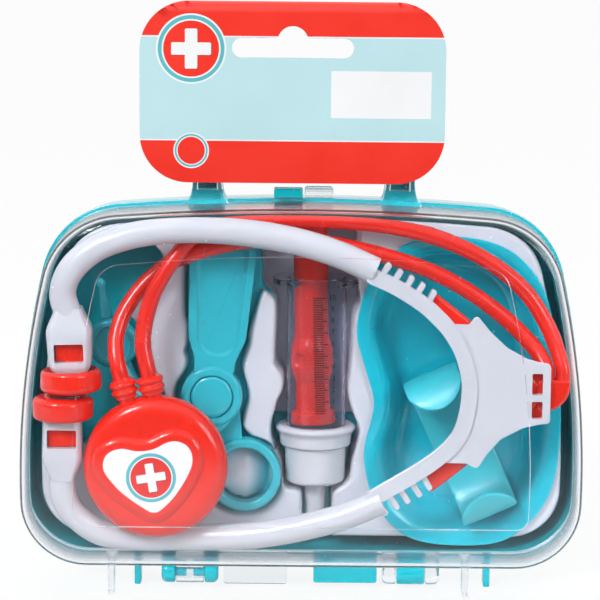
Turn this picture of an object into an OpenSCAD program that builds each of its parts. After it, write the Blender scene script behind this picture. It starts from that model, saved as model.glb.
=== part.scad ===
// Toy doctor case: two identical half shells, one teal and one clear, hinged at the foot,
// with a vacuum-formed tray of toy instruments inside and a printed card on the handle.
// The case stands on its fins. X runs along the case, the clear lid faces -Y, Z is up,
// and the shells part in the plane y = 0. Lengths are in millimetres.

/* [Case shells] */
// Width over the rims, at the widest line
case_w = 202; // [200:1:260]
// Height of the rims' top line above the floor
case_top = 143.2; // [142:0.2:180]
// Height of the rims' bottom line above the floor
case_foot = 12.2; // [12:0.1:13]
// Depth of each shell from the parting plane
shell_depth = 25; // [24.6:0.1:32]
// Wall of each shell
wall = 1.4; // [1:0.1:1.8]
// How far the rim stands proud of the wall
rim_proud = 1; // [0.6:0.1:1.6]
// Depth of the rim along the side wall
rim_deep = 3; // [2:0.2:5]
// Draft of the side wall over its depth
draft = 0.5; // [0:0.1:1]
// Radius of the edge round the big face
face_edge_r = 4.5; // [3:0.1:6]
// Radius of the top corners of the rim
top_corner_r = 30; // [22:1:40]
// Radius of the bottom corners of the rim
bottom_corner_r = 25; // [18:1:30]
// Depth of the sunk window in the big face
window_deep = 0.5; // [0.2:0.1:0.8]

/* [Handle and latch] */
// Distance between the handle legs' centre lines
handle_span = 68; // [60:1:90]
// Height of the handle's top above the rims
handle_rise = 42; // [36:1:60]
// Width of the handle's channel section
handle_w = 10.6; // [9:0.2:14]
// Depth of each handle half
handle_deep = 6; // [5:0.2:9]
// Width of each latch tongue
tongue_w = 10.2; // [8:0.2:14]

/* [Hinge and feet] */
// Height of the hinge axis above the floor
hinge_z = 6; // [5.8:0.1:6.2]
// Radius of the hinge knuckles
knuckle_r = 4; // [3.6:0.1:4.4]
// Width of the middle knuckle
knuckle_w = 10; // [8:0.2:11]
// Diameter of the hinge pins
pin_d = 3.6; // [3:0.1:4.4]
// Distance from the middle of the case to each hinge
hinge_x = 40; // [36:0.5:44]
// Thickness of the foot fins
fin_w = 2.3; // [2:0.1:3]

/* [Header card] */
// Width of the card
card_w = 107; // [90:1:120]
// Height of the card's front panel
card_h = 63.4; // [60:0.2:75]
// Thickness of the card
card_t = 0.5; // [0.4:0.05:0.7]
// Where the middle of the card lies across the case
card_x = -4.2; // [-6:0.1:0]

/* [Tray] */
// How far the tray's lands lie behind the parting plane
tray_back = 1.8; // [1.6:0.1:2]
// Thickness of the tray's sheet
tray_t = 0.8; // [0.6:0.1:1]

/* [Stethoscope] */
// Diameter of the white ear tubes
ear_tube_d = 9.6; // [8:0.1:9.8]
// Diameter of the red hoses
hose_d = 5.8; // [5:0.1:6.2]
// Diameter of the chest piece
chest_d = 51.4; // [44:0.2:52]
// Diameter of the ear plugs
plug_d = 22; // [18:0.5:22]

/* [Syringe] */
// Outer diameter of the clear barrel
barrel_d = 21.6; // [18:0.2:22]
// Diameter of the barrel's bore
bore_d = 16.4; // [14:0.2:16.8]
// Length of the barrel
barrel_l = 53; // [46:0.5:54]

/* [Scissors] */
// Thickness of each scissor half
half_t = 3.4; // [2.8:0.1:3.5]
// Diameter of the scissors' pivot pin
pivot_d = 6; // [4:0.2:8]
// Outer diameter of the finger rings
ring_d = 26.8; // [22:0.2:27]

/* [Kidney dish and cuff] */
// Depth of the dish
dish_deep = 18.6; // [14:0.2:19]
// Wall of the dish
dish_t = 1.2; // [0.9:0.1:1.4]
// Width of the bandage cuff
cuff_w = 20.5; // [16:0.5:21]
// Wall of the bandage cuff
cuff_t = 1.7; // [1.2:0.1:2]

/* [Hidden] */
$fn = 48;

face_gap = 0.05;          // each rim's distance from the parting plane
run_gap = 0.08;           // radial clearance of a turning or sliding fit
seat_gap = 0.3;           // clearance between pieces that lie against each other
half_w = case_w / 2;
widest_z = 45;            // height of the widest line of the case
side_bow_r = 315;         // radius of the bowed sides
top_bow_r = 820;          // radius of the bowed top
wall_inset = rim_proud + draft;
handle_y = 0.55;          // from the parting plane to each handle half
face_inside = shell_depth - wall;
teal = [0.16, 0.68, 0.72];
clear = [0.80, 0.86, 0.92, 0.45];
white = [0.93, 0.92, 0.96];
red = [0.92, 0.22, 0.16];

// ---- Curves and sweeps -------------------------------------------------------------

function unit(v) = v / norm(v);

// Points on an arc about [cx, cz]
function arc(cx, cz, r, a0, a1, n) =
    [for (i = [0:n]) let (a = a0 + (a1 - a0) * i / n) [cx + r * cos(a), cz + r * sin(a)]];

function tail(list) = [for (i = [1:len(list) - 1]) list[i]];

function catmull(a, b, c, d, t) =
    0.5 * (2 * b + (c - a) * t + (2 * a - 5 * b + 4 * c - d) * t * t
    + (3 * b - a - 3 * c + d) * t * t * t);

// Smooth closed curve through the points p, with n steps from each to the next
function smooth_loop(p, n) = let (m = len(p))
    [for (i = [0:m - 1], j = [0:n - 1])
        catmull(p[(i + m - 1) % m], p[i], p[(i + 1) % m], p[(i + 2) % m], j / n)];

// Smooth open curve through the points p, with n steps from each to the next
function smooth_path(p, n) = let (m = len(p)) concat(
    [for (i = [0:m - 2], j = [0:n - 1])
        catmull(p[max(i - 1, 0)], p[i], p[i + 1], p[min(i + 2, m - 1)], j / n)],
    [p[m - 1]]);

// Counter-clockwise loop moved inwards by d
function inset(p, d) = let (m = len(p))
    [for (i = [0:m - 1]) let (t = unit(p[(i + 1) % m] - p[(i + m - 1) % m]))
        p[i] + d * [-t[1], t[0]]];

// Loop of [x, z] points placed at depth y
function at_depth(p, y) = [for (q = p) [q[0], y, q[1]]];

// Closed surface over rings of equally many points, flat at both ends
module skin(rings) {
    n = len(rings[0]);
    m = len(rings);
    sides = [for (i = [0:m - 2], j = [0:n - 1]) let (k = (j + 1) % n)
        each [[i * n + j, (i + 1) * n + j, (i + 1) * n + k], [i * n + j, (i + 1) * n + k, i * n + k]]];
    first = [[for (j = [0:n - 1]) j]];
    last = [[for (j = [n - 1:-1:0]) (m - 1) * n + j]];
    polyhedron([for (r = rings) each r], concat(sides, first, last));
}

// Round tube of radius r along the points p, which never run along Y
function tube_ring(p, i, r, n) = let (
    t = unit(p[min(i + 1, len(p) - 1)] - p[max(i - 1, 0)]),
    s = unit(cross([0, 1, 0], t)),
    u = cross(t, s))
    [for (k = [0:n - 1]) p[i] + r * (cos(360 * k / n) * s + sin(360 * k / n) * u)];

module tube(p, r, n) {
    skin([for (i = [0:len(p) - 1]) tube_ring(p, i, r, n)]);
}

// Outline in [x, z] extruded from depth y0 to y1
module slab(y0, y1) {
    translate([0, y1, 0]) rotate([90, 0, 0]) linear_extrude(y1 - y0) children();
}

// Box between two corners
module span(a, b) {
    translate(a) cube(b - a);
}

// ---- Outline of the shells ---------------------------------------------------------

// Bowed trapezoid with tangent arcs, moved inwards by d
function bowed(hw, z_top, z_foot, side_r, top_r, r_top, r_foot, d, n_corner, n_side) = let (
    s = [hw - side_r, widest_z],
    u = [0, z_top - top_r],
    su = u - s,
    r1 = side_r - r_top,
    r2 = top_r - r_top,
    along = (r1 * r1 - r2 * r2 + su * su) / (2 * norm(su)),
    e = unit(su),
    t = s + along * e + sqrt(r1 * r1 - along * along) * [-e[1], e[0]],
    fz = z_foot + r_foot,
    fx = s[0] + sqrt(pow(side_r - r_foot, 2) - pow(fz - widest_z, 2)),
    a_foot = atan2(fz - widest_z, fx - s[0]),
    a_side = atan2(t[1] - widest_z, t[0] - s[0]),
    a_top = atan2(t[1] - u[1], t[0]))
    concat(
        arc(fx, fz, r_foot - d, -90, a_foot, n_corner),
        tail(arc(s[0], s[1], side_r - d, a_foot, a_side, n_side)),
        tail(arc(t[0], t[1], r_top - d, a_side, a_top, n_corner)),
        tail(arc(0, u[1], top_r - d, a_top, 180 - a_top, 6)),
        tail(arc(-t[0], t[1], r_top - d, 180 - a_top, 180 - a_side, n_corner)),
        tail(arc(-s[0], s[1], side_r - d, 180 - a_side, 180 - a_foot, n_side)),
        tail(arc(-fx, fz, r_foot - d, 180 - a_foot, 270, n_corner)));

function rim_outline(d) =
    bowed(half_w, case_top, case_foot, side_bow_r, top_bow_r, top_corner_r, bottom_corner_r, d, 8, 5);

window_margin = 20.6;     // from the rims' sides to the window
function window_outline() =
    bowed(half_w - window_margin, case_top - 18, case_foot + 16.6, 295, 620, 9, 4, 0, 5, 5);

// Height of the outside of the top wall at x, before the draft
function wall_top(x) = case_top - rim_proud - x * x / (2 * top_bow_r);

// ---- Half shell, drawn as the back one ---------------------------------------------

module shell_wall() {
    fillets = [for (i = [0:4]) i * 22.5];
    edge_y = shell_depth - face_edge_r;
    in_r = face_edge_r - wall;
    outside = [for (a = fillets) [edge_y + face_edge_r * sin(90 - a),
        wall_inset + face_edge_r * (1 - cos(90 - a))]];
    rim = [[rim_deep, rim_proud + draft * rim_deep / edge_y], [rim_deep, 0], [face_gap, 0],
        [face_gap, rim_proud + wall]];
    inside = [for (a = [0, 30, 60, 90]) [edge_y + in_r * sin(a),
        wall_inset + wall + in_r * (1 - cos(a))]];
    skin([for (q = concat(outside, rim, inside)) at_depth(rim_outline(q[1]), q[0])]);
}

// Bar swept along the [x, z, widening] points; the section is convex, in [across, y]
module sweep(path, section) {
    m = len(path);
    skin([for (i = [0:m - 1]) let (
        a = path[max(i - 1, 0)],
        b = path[min(i + 1, m - 1)],
        t = unit([b[0] - a[0], b[1] - a[1]]))
        [for (q = section) [path[i][0] + q[0] * path[i][2] * t[1], q[1],
            path[i][1] - q[0] * path[i][2] * t[0]]]]);
}

// U-shaped handle: up one leg, across and down the other, hollow towards the other half
module handle_half() {
    leg_x = handle_span / 2;
    top_z = case_top + handle_rise - handle_w / 2;
    bend = 8;
    foot_z = wall_top(leg_x) - wall / 2;
    right = concat(
        [[leg_x, foot_z, 1.5], [leg_x, foot_z + 2.2, 1.25], [leg_x, foot_z + 5, 1.04],
            [leg_x, foot_z + 8, 1]],
        [for (p = arc(leg_x - bend, top_z - bend, bend, 0, 90, 5)) [p[0], p[1], 1]]);
    path = concat(right, [for (i = [len(right) - 1:-1:0]) [-right[i][0], right[i][1], right[i][2]]]);
    y0 = handle_y;
    y1 = y0 + handle_deep;
    w = handle_w / 2;
    difference() {
        sweep(path, [[w, y0], [w, y1 - 2], [w - 0.6, y1 - 0.6], [w - 2, y1], [2 - w, y1],
            [0.6 - w, y1 - 0.6], [-w, y1 - 2], [-w, y0]]);
        intersection() {
            sweep(path, [[w - 1.7, y0 - 1], [w - 1.7, y1 - 1.8], [1.7 - w, y1 - 1.8], [1.7 - w, y0 - 1]]);
            span([-case_w, y0 - 2, case_top + 0.6], [case_w, y1, case_top + 99]);
        }
    }
}

// Latch tongue: it stands on its own rim and reaches over the other shell's rim
module latch_tongue() {
    x1 = -seat_gap;
    x0 = x1 - tongue_w;
    over = case_top + 0.25;
    reach = rim_deep + 1.4;
    difference() {
        union() {
            span([x0, 0.3, case_top - 1], [x1, 2.6, over + 3.2]);
            span([x0, -reach, over], [x1, 2.6, over + 1.8]);
            slab(-reach, -reach + 1.7) polygon([[x0, over], [x1, over], [x1, over + 2.6],
                [x1 - 0.8, over + 3.4], [x0 + 0.8, over + 3.4], [x0, over + 2.6]]);
        }
        translate([(x0 + x1) / 2, -reach - 1, over]) rotate([-90, 0, 0]) cylinder(r = 2.3, h = 3.5);
    }
}

// Outer hinge ear with its stub pin; side is 1 where the pin points to +X
module hinge_ear(x, side) {
    ear_w = 5;
    dome = 4.6;
    in_face = x + side * ear_w / 2;
    intersection() {
        union() {
            translate([x - ear_w / 2, 0, hinge_z]) rotate([0, 90, 0]) cylinder(r = knuckle_r, h = ear_w);
            span([x - ear_w / 2, 0.3, hinge_z], [x + ear_w / 2, knuckle_r, case_foot + rim_proud + wall / 2]);
        }
        union() {
            translate([in_face - side * 0.4, 0, hinge_z]) rotate([0, -side * 90, 0])
                cylinder(r = dome, h = ear_w - 1.6);
            translate([in_face - side * 1.6, 0, hinge_z]) sphere(r = dome);
            span([x - ear_w / 2, -knuckle_r - 1, hinge_z + 1],
                [x + ear_w / 2, knuckle_r + 1, case_foot + 6]);
        }
    }
    translate([in_face - side * 0.5, 0, hinge_z]) rotate([0, side * 90, 0])
        cylinder(d = pin_d, h = 4.5);
}

// Middle knuckle, bored for the other shell's stub pins
module hinge_knuckle() {
    difference() {
        union() {
            translate([hinge_x - knuckle_w / 2, 0, hinge_z]) rotate([0, 90, 0])
                cylinder(r = knuckle_r, h = knuckle_w);
            span([hinge_x - knuckle_w / 2, 0.3, hinge_z],
                [hinge_x + knuckle_w / 2, knuckle_r, case_foot + rim_proud + wall / 2]);
        }
        translate([hinge_x - knuckle_w / 2 - 1, 0, hinge_z]) rotate([0, 90, 0])
            cylinder(d = pin_d + 2 * run_gap, h = knuckle_w + 2);
    }
}

// Foot fin: it carries the case and stops the lid when it lies flat
module foot_fin(x) {
    y0 = rim_deep + 0.4;
    root = case_foot + rim_proud + wall;
    slab(y0, y0 + 7.4) polygon([[x - 2.6, root], [x - fin_w / 2, root - 4.5], [x - fin_w / 2, 0.5],
        [x - fin_w / 2 + 0.5, 0], [x + fin_w / 2 - 0.5, 0], [x + fin_w / 2, 0.5],
        [x + fin_w / 2, root - 4.5], [x + 2.6, root]]);
}

module half_shell() {
    ear_offset = knuckle_w / 2 + seat_gap + 2.5;
    tab_w = 23;
    difference() {
        union() {
            shell_wall();
            handle_half();
            latch_tongue();
            hinge_ear(-hinge_x - ear_offset, 1);
            hinge_ear(-hinge_x + ear_offset, -1);
            hinge_knuckle();
            foot_fin(68);
            foot_fin(-59.3);
            slab(0.3, 2.3) polygon([[4.8, case_foot + 1], [4.8, 3], [5.8, 2], [3.8 + tab_w, 2],
                [4.8 + tab_w, 3], [4.8 + tab_w, case_foot + 1]]);
        }
        slab(shell_depth - window_deep, shell_depth + 1) polygon(window_outline());
    }
}

module back_shell() {
    color(teal) half_shell();
}

module front_shell() {
    color(clear) rotate([0, 0, 180]) half_shell();
}

// ---- Header card -------------------------------------------------------------------

card_back_y = -0.1;                                  // middle of the back panel
card_front_y = -handle_y - handle_deep - 0.75;           // middle of the front panel
card_top = case_top + 69.2;
card_foot = card_top - card_h;

module card_outline(w, z0, z1, r) {
    translate([card_x, (z0 + z1) / 2]) polygon(concat(
        arc(w / 2 - r, (z1 - z0) / 2 - r, r, 0, 90, 8), arc(r - w / 2, (z1 - z0) / 2 - r, r, 90, 180, 8),
        arc(r - w / 2, r - (z1 - z0) / 2, r, 180, 270, 8), arc(w / 2 - r, r - (z1 - z0) / 2, r, 270, 360, 8)));
}

module hang_slot() {
    slot_z = card_foot + 47.4;
    slot_w = 42.6;
    slot_h = 6.8;
    for (side = [-1, 1]) {
        translate([card_x + side * (slot_w - slot_h) / 2, card_front_y - 3, slot_z]) rotate([-90, 0, 0])
            cylinder(d = slot_h, h = 14);
    }
    span([card_x - (slot_w - slot_h) / 2, card_front_y - 3, slot_z - slot_h / 2],
        [card_x + (slot_w - slot_h) / 2, card_front_y + 11, slot_z + slot_h / 2]);
    translate([card_x, card_front_y - 3, slot_z + 2.2]) rotate([-90, 0, 0]) cylinder(d = 10.8, h = 14);
}

module header_card() {
    mid = (card_front_y + card_back_y) / 2;
    fold_r = (card_back_y - card_front_y) / 2;
    fold_z = card_top - fold_r - card_t / 2;
    color([0.93, 0.30, 0.22]) difference() {
        union() {
            intersection() {
                slab(card_front_y - 1, card_back_y + 1) card_outline(card_w, card_foot, card_top, 17);
                union() {
                    span([card_x - card_w, card_front_y - card_t / 2, card_foot],
                        [card_x + card_w, card_front_y + card_t / 2, fold_z]);
                    translate([card_x - card_w, mid, fold_z]) rotate([0, 90, 0]) difference() {
                        cylinder(r = fold_r + card_t / 2, h = 2 * card_w);
                        translate([0, 0, -1]) cylinder(r = fold_r - card_t / 2, h = 2 * card_w + 2);
                        translate([0, -20, -1]) cube([40, 40, 2 * card_w + 2]);
                    }
                }
            }
            slab(card_back_y - card_t / 2, card_back_y + card_t / 2)
                polygon([[card_x - 24, card_foot - 1.9], [card_x + 24, card_foot - 1.9],
                    [card_x + 24, card_foot + 42], [card_x + 36, card_foot + 50],
                    [card_x + 44, fold_z], [card_x - 44, fold_z],
                    [card_x - 36, card_foot + 50], [card_x - 24, card_foot + 42]]);
        }
        hang_slot();
    }
}

// ---- Kidney dish -------------------------------------------------------------------

dish_rim_y = tray_back - 2.2;
dish_loop = smooth_loop([[26, 68], [22.6, 50], [27, 32], [39, 19.6], [58, 16.6], [76, 19.8], [89.4, 35],
    [93.2, 58], [91.6, 85], [86.4, 110], [74, 124.6], [56, 129.6], [39, 127.8], [25.5, 117], [19.5, 97],
    [22.6, 82]], 3);

module kidney_dish() {
    // [distance in from the rim, share of the depth] down the inside of the wall
    profile = [[0.7, 0.01], [4.2, 0.05], [6.6, 0.16], [8.2, 0.45], [9.8, 0.76], [11.6, 0.93], [15, 1]];
    floor_y = dish_rim_y + dish_deep - dish_t;
    inside = [for (q = profile) [q[0], dish_rim_y + q[1] * (floor_y - dish_rim_y)]];
    outside = [[13.4, floor_y + dish_t], [10.4, dish_rim_y + 0.93 * dish_deep],
        [8.4, dish_rim_y + 0.74 * dish_deep], [6.8, dish_rim_y + 0.45 * dish_deep],
        [5.2, dish_rim_y + 0.19 * dish_deep], [3, dish_rim_y + 2.1], [0, dish_rim_y + 1.9],
        [0, dish_rim_y + 0.2]];
    color(teal) skin([for (q = concat(outside, inside)) at_depth(inset(dish_loop, q[0]), q[1])]);
}

// ---- Bandage cuff ------------------------------------------------------------------

cuff_mid = [57.2, 0, 54.4];
cuff_lean = 24.3;
cuff_half_l = 28.2;
cuff_back_y = dish_rim_y + dish_deep - dish_t - seat_gap;
cuff_front_y = -17;

module bandage_cuff() {
    mid_y = (cuff_back_y + cuff_front_y) / 2;
    deep = (cuff_back_y - cuff_front_y) / 2;
    bulge = 2.5;
    outer = [for (i = [0:35]) let (a = i * 10)
        [cuff_half_l * sign(cos(a)) * pow(abs(cos(a)), 2 / bulge),
            deep * sign(sin(a)) * pow(abs(sin(a)), 2 / bulge)]];
    tip = 17.6;
    color(teal) translate(cuff_mid) rotate([0, 90 - cuff_lean, 0]) difference() {
        // the strip runs along local X, its width along local Z
        translate([0, mid_y, -cuff_w / 2]) linear_extrude(cuff_w) difference() {
            polygon(outer);
            polygon(inset(outer, cuff_t));
        }
        difference() {
            span([-cuff_half_l + 2, cuff_front_y - 1, -cuff_w], [cuff_half_l - 2, mid_y - 6, cuff_w]);
            for (side = [-1, 1]) {
                translate([side * (tip + cuff_w / 2), cuff_front_y - 2, 0]) rotate([-90, 0, 0])
                    cylinder(d = cuff_w, h = deep + 2);
                span([side > 0 ? tip + cuff_w / 2 : -cuff_half_l - 1, cuff_front_y - 2, -cuff_w / 2],
                    [side > 0 ? cuff_half_l + 1 : -tip - cuff_w / 2, mid_y, cuff_w / 2]);
            }
        }
    }
}

// ---- Tray --------------------------------------------------------------------------

tray_y = tray_back;
tray_gap = 1.6;           // from the tray to the shell's wall
well_deep = 8;            // depth of the wells' side walls

scissors_well = smooth_loop([[-44.5, 128], [-43.4, 100], [-43.6, 92], [-41.5, 84], [-46.5, 75],
    [-52, 62], [-64, 50], [-64, 36], [-52, 27.5], [-36, 26.4], [-24, 25.8], [-10, 30], [-5.2, 43],
    [-10.5, 55.5], [-17.2, 60], [-18, 74], [-19.6, 84], [-16.4, 92], [-15, 108], [-15.4, 128],
    [-20, 135], [-37, 135.6]], 3);
syringe_well = smooth_loop([[-13.8, 118], [-14.4, 110], [-13.9, 105.6], [-10.2, 102.2], [-8.8, 90],
    [-9, 84], [-7.9, 80], [-7.7, 74], [-9.4, 67], [-12.4, 57.6], [-9.6, 47], [-7.6, 36], [-1, 32.4],
    [-0.4, 24], [1.2, 18.8], [9, 18.8], [10.6, 24], [11.6, 32.4], [18, 36], [20.6, 47], [21.6, 57], [18.4, 66], [16.6, 73],
    [17.4, 81], [18, 90], [18.6, 101], [20.8, 106], [18.6, 118], [18.6, 146], [-13.8, 146]], 2);
scope_well = smooth_loop([[-86, 112], [-80, 121], [-68, 127], [-56, 127], [-49, 118], [-56, 108],
    [-64, 103], [-56, 92], [-53, 80], [-48, 66], [-52, 57], [-68, 52], [-84, 54], [-90, 70], [-90, 92]], 3);

module tray() {
    back_y = face_inside - seat_gap;
    edge = rim_proud + wall + tray_gap;
    skirt = wall_inset + face_edge_r + 0.2;
    wells = [scissors_well, syringe_well, scope_well];
    color(white) difference() {
        union() {
            slab(tray_y, tray_y + tray_t) polygon(rim_outline(edge));
            difference() {
                slab(tray_y, back_y) polygon(rim_outline(skirt));
                slab(tray_y - 1, back_y + 1) polygon(rim_outline(skirt + tray_t));
            }
            intersection() {
                slab(tray_y, tray_y + well_deep) polygon(rim_outline(skirt));
                for (well = wells) {
                    slab(tray_y, tray_y + well_deep) polygon(inset(well, -tray_t));
                }
            }
        }
        for (well = wells) {
            slab(tray_y - 1, tray_y + well_deep + 1) polygon(well);
        }
        slab(tray_y - 1, tray_y + well_deep + 1) polygon(inset(dish_loop, 1.6));
    }
}

// ---- Stethoscope -------------------------------------------------------------------

ear_y = -15;
socket_y = -12.2;
under_y = -7;             // the lower ear tube where it runs behind the chest piece
upper_tube = [[-82.4, socket_y - 0.4, 102], [-84.4, ear_y + 1.2, 111], [-80.6, ear_y, 119.6], [-71.6, ear_y, 127],
    [-58, ear_y, 131.6], [-44, ear_y, 133.2], [-30, ear_y, 133.2], [-17, ear_y, 132],
    [-2, ear_y, 129.2], [14, ear_y, 124.4], [29, ear_y - 0.6, 117.4]];
lower_tube = [[-84.8, socket_y, 48], [-84.8, socket_y + 0.6, 38], [-81, socket_y + 2.6, 29.6],
    [-72, under_y - 1, 22.6], [-60, under_y, 20.6], [-46, under_y, 20.6], [-30, under_y - 1.6, 21.2],
    [-15, under_y - 4, 23.4], [0, under_y - 6, 27.2], [15, ear_y - 0.4, 32.2], [30, ear_y - 0.6, 38.2]];
yoke_y = -18.4;
yoke_t = 2.4;
// Inner edge of the yoke and of both spines: one arc that bulges to +X
arc_c = [14.2, 77.6];
arc_r = 42.4;

// Bevelled block with a window, at the end of an ear tube; it carries a plug's stem
module ear_socket(x0, z0, x1, z1, width) {
    a = [x0, socket_y, z0];
    b = [x1, socket_y, z1];
    t = unit(b - a);
    s = unit(cross([0, 1, 0], t));
    // distance along, share of the full half width, half depth
    stations = [[0, 0.7, 4.6], [3, 0.93, 6], [12, 1, 6.4], [16, 1, 6.2], [21, 0.72, 5.2], [23.4, 0.6, 4.7]];
    difference() {
        skin([for (q = stations) [for (c = [[-1, -0.55], [-0.8, -1], [0.8, -1], [1, -0.55], [1, 0.55],
            [0.8, 1], [-0.8, 1], [-1, 0.55]])
            a + q[0] * t + c[0] * q[1] * width / 2 * s + [0, c[1] * q[2], 0]]]);
        translate(a) rotate([0, atan2(t[0], t[2]), 0]) {
            translate([0, 0, -1]) cylinder(d = 7.2, h = 14);
            translate([-5.2, -12, 4.5]) cube([10.4, 12, 6.6]);
        }
    }
}

// Rib of a comb, from the spine outwards
module rib(base, tip) {
    d = tip - base;
    translate([base[0], yoke_y + 0.4, base[1]]) rotate([0, -atan2(d[1], d[0]), 0])
        translate([-1.6, 0, -1]) cube([norm(d) + 1.6, 4.2, 2]);
}

module headset() {
    yoke = concat(
        arc(arc_c[0], arc_c[1], arc_r + 1.6, -35, 29, 10),
        [[54.4, 99.8], [58.6, 99.8], [61.2, 103], [66, 97.6], [72, 92], [79, 88.2], [86.4, 86.6], [90, 86.2],
            [90, 66.6], [86, 66.4], [78, 64.8], [70, 60.6], [65, 54.8], [61.8, 50], [58, 51.6], [52, 51.8]]);
    spine = concat(
        arc(arc_c[0], arc_c[1], arc_r, -72, 72, 18),
        [for (p = arc(arc_c[0], arc_c[1], arc_r + 3.6, 72, -72, 18)) p]);
    color(white) {
        difference() {
            union() {
                tube(smooth_path(upper_tube, 3), ear_tube_d / 2, 12);
                tube(smooth_path(lower_tube, 3), ear_tube_d / 2, 12);
                ear_socket(-81.8, 81.6, -82.5, 105, 15.8);
                ear_socket(-84.7, 66.4, -84.8, 43, 14);
                slab(yoke_y, yoke_y + yoke_t) polygon(yoke);
                slab(yoke_y - 0.6, yoke_y + 2.6) polygon(spine);
            }
            span([81, yoke_y - 1, 76.2], [84.8, yoke_y + 8, 83.8]);
            span([81, yoke_y - 1, 67.6], [84.8, yoke_y + 8, 73.8]);
        }
        for (i = [0:4]) {
            rib([28 + i * 3.95, 115.9 - i * 2.5], [31.2 + i * 3.85, 121 - i * 2.35]);
            rib([28.6 + i * 3.95, 39 + i * 2.5], [31.6 + i * 3.85, 33.6 + i * 2.35]);
        }
    }
}

// Ear plug: a soft disc on a stem that fills its socket; lean tilts it in the X-Z plane
module ear_plug(x, z, lean, up) {
    color(red) translate([x, socket_y, z]) rotate([0, lean, 0]) rotate([up ? 0 : 180, 0, 0]) {
        rotate_extrude() polygon([[0, 0.8], [7, 0], [9.4, 0.3], [plug_d / 2 - 0.5, 1.2], [plug_d / 2, 2.2],
            [plug_d / 2 - 0.3, 7.4], [plug_d / 2 - 1.3, 8.2], [8.6, 8.2], [7.8, 6.6], [3.5, 6.6],
            [3.5, 17], [0, 17]]);
    }
}

module ear_plug_upper() {
    ear_plug(-81.6, 74.7, -1.6, true);
}

module ear_plug_lower() {
    ear_plug(-84.67, 73.3, 0.25, false);
}

junction_y = -12.4;
hose_r = hose_d / 2;

// The hose from the inner side of the junction; it passes behind the other near the collars
inner_route = [[86.4, -12.4, 80.6], [86.4, -12.4, 84], [83.4, -9.4, 89.8], [77.6, -6.8, 96.2],
    [69.4, -5.8, 103.4], [58, -5.6, 111.4], [45, -5.4, 118], [30, -5.4, 123], [14, -5.4, 126.6],
    [-2, -5.4, 129], [-18, -5.6, 128.4], [-30, -5.7, 126.2], [-39.4, -5.3, 123.3], [-46.2, -3.5, 120.4],
    [-52.6, -3, 115.6], [-58.6, -4.2, 109.4], [-63.4, -6.6, 102], [-65.8, -9.6, 94.6], [-65.8, -12.8, 88.4],
    [-64.8, -14.4, 83.9], [-63.8, -14.4, 80]];
// The hose that runs along the top of the case
outer_route = [[92.4, -12.4, 80.6], [92.4, -12.4, 84.6], [89.8, -9.4, 92.4], [85.6, -7, 101.4],
    [78.6, -6.2, 111.4], [67.4, -6.2, 120.6], [53, -6.2, 128], [37, -6.2, 132.8], [20, -6.2, 135.2],
    [2, -6.2, 136], [-14, -6.2, 136], [-26, -6.2, 135], [-34, -6.6, 132.6], [-39.8, -8, 129],
    [-44.4, -9.8, 123.6], [-49, -10.8, 117], [-53, -11.2, 109], [-55.6, -12, 99.6], [-56.2, -13.4, 91.6],
    [-54.9, -14.4, 85.1], [-54, -14.4, 81]];

module hose_junction() {
    color(red) {
        // body behind the yoke, with an arm to each comb
        span([79.6, junction_y - 2.8, 71.4], [84, junction_y + 2.8, 80]);
        span([83.2, junction_y - 3.2, 70.8], [94, junction_y + 3.2, 80.6]);
        translate([93.4, junction_y, 70.8]) cylinder(r = 2.1, h = 9.8);
        tube([[82, junction_y, 77.4], [75, junction_y, 83.6], [60.6, junction_y, 95], [48.6, junction_y, 104.6]],
            3.1, 16);
        tube([[82, junction_y, 75], [75, junction_y, 68.6], [60.6, junction_y, 57], [48.4, junction_y, 47.6]],
            3.1, 16);
    }
}

module hose_inner() {
    color(red) tube(inner_route, hose_r, 10);
}

module hose_outer() {
    color(red) tube(outer_route, hose_r, 10);
}

// Ribbed collar where a hose enters the chest piece
module hose_collar(top, foot) {
    d = top - foot;
    tilt = atan2(norm([d[0], d[1]]), d[2]);
    turn = atan2(d[1], d[0]);
    color(red) translate(foot) rotate([0, 0, turn]) rotate([0, tilt, 0]) rotate_extrude()
        polygon([[0, 0], [3.9, 0], [3.9, 1.4], [4.7, 1.8], [4.8, 2.8], [4.1, 3.4], [4.1, 4], [4.8, 4.5],
            [4.9, 5.6], [4.2, 6.2], [3.4, 6.8], [3.4, norm(d)], [0, norm(d)]]);
}

module hose_collar_inner() {
    hose_collar([-63.8, -14.4, 80], [-62, -14.4, 73]);
}

module hose_collar_outer() {
    hose_collar([-54, -14.4, 81], [-52.6, -14.4, 74.6]);
}

chest_c = [-51.7, 48.4];
chest_r = chest_d / 2;
chest_mid = -11.6;        // where the bell meets its cover
chest_back = -6.4;
cover_r = chest_r - 3.2;
heart_turn = 8;

// Heart outline w wide, its tip downwards, turned and set on the chest piece; it starts at the tip
function heart_loop(w) = let (k = w / 38) [for (i = [0:47]) let (
    a = 180 - 7.5 * i,
    x = 19 * k * pow(abs(sin(a)), 2.2) * sign(sin(a)),
    z = k * (13.2 * cos(a) - 4.8 * cos(2 * a) - 1.4 * cos(3 * a) - 2))
    chest_c + [x * cos(heart_turn) - z * sin(heart_turn) - 0.4,
        x * sin(heart_turn) + z * cos(heart_turn) - 0.4]];

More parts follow.
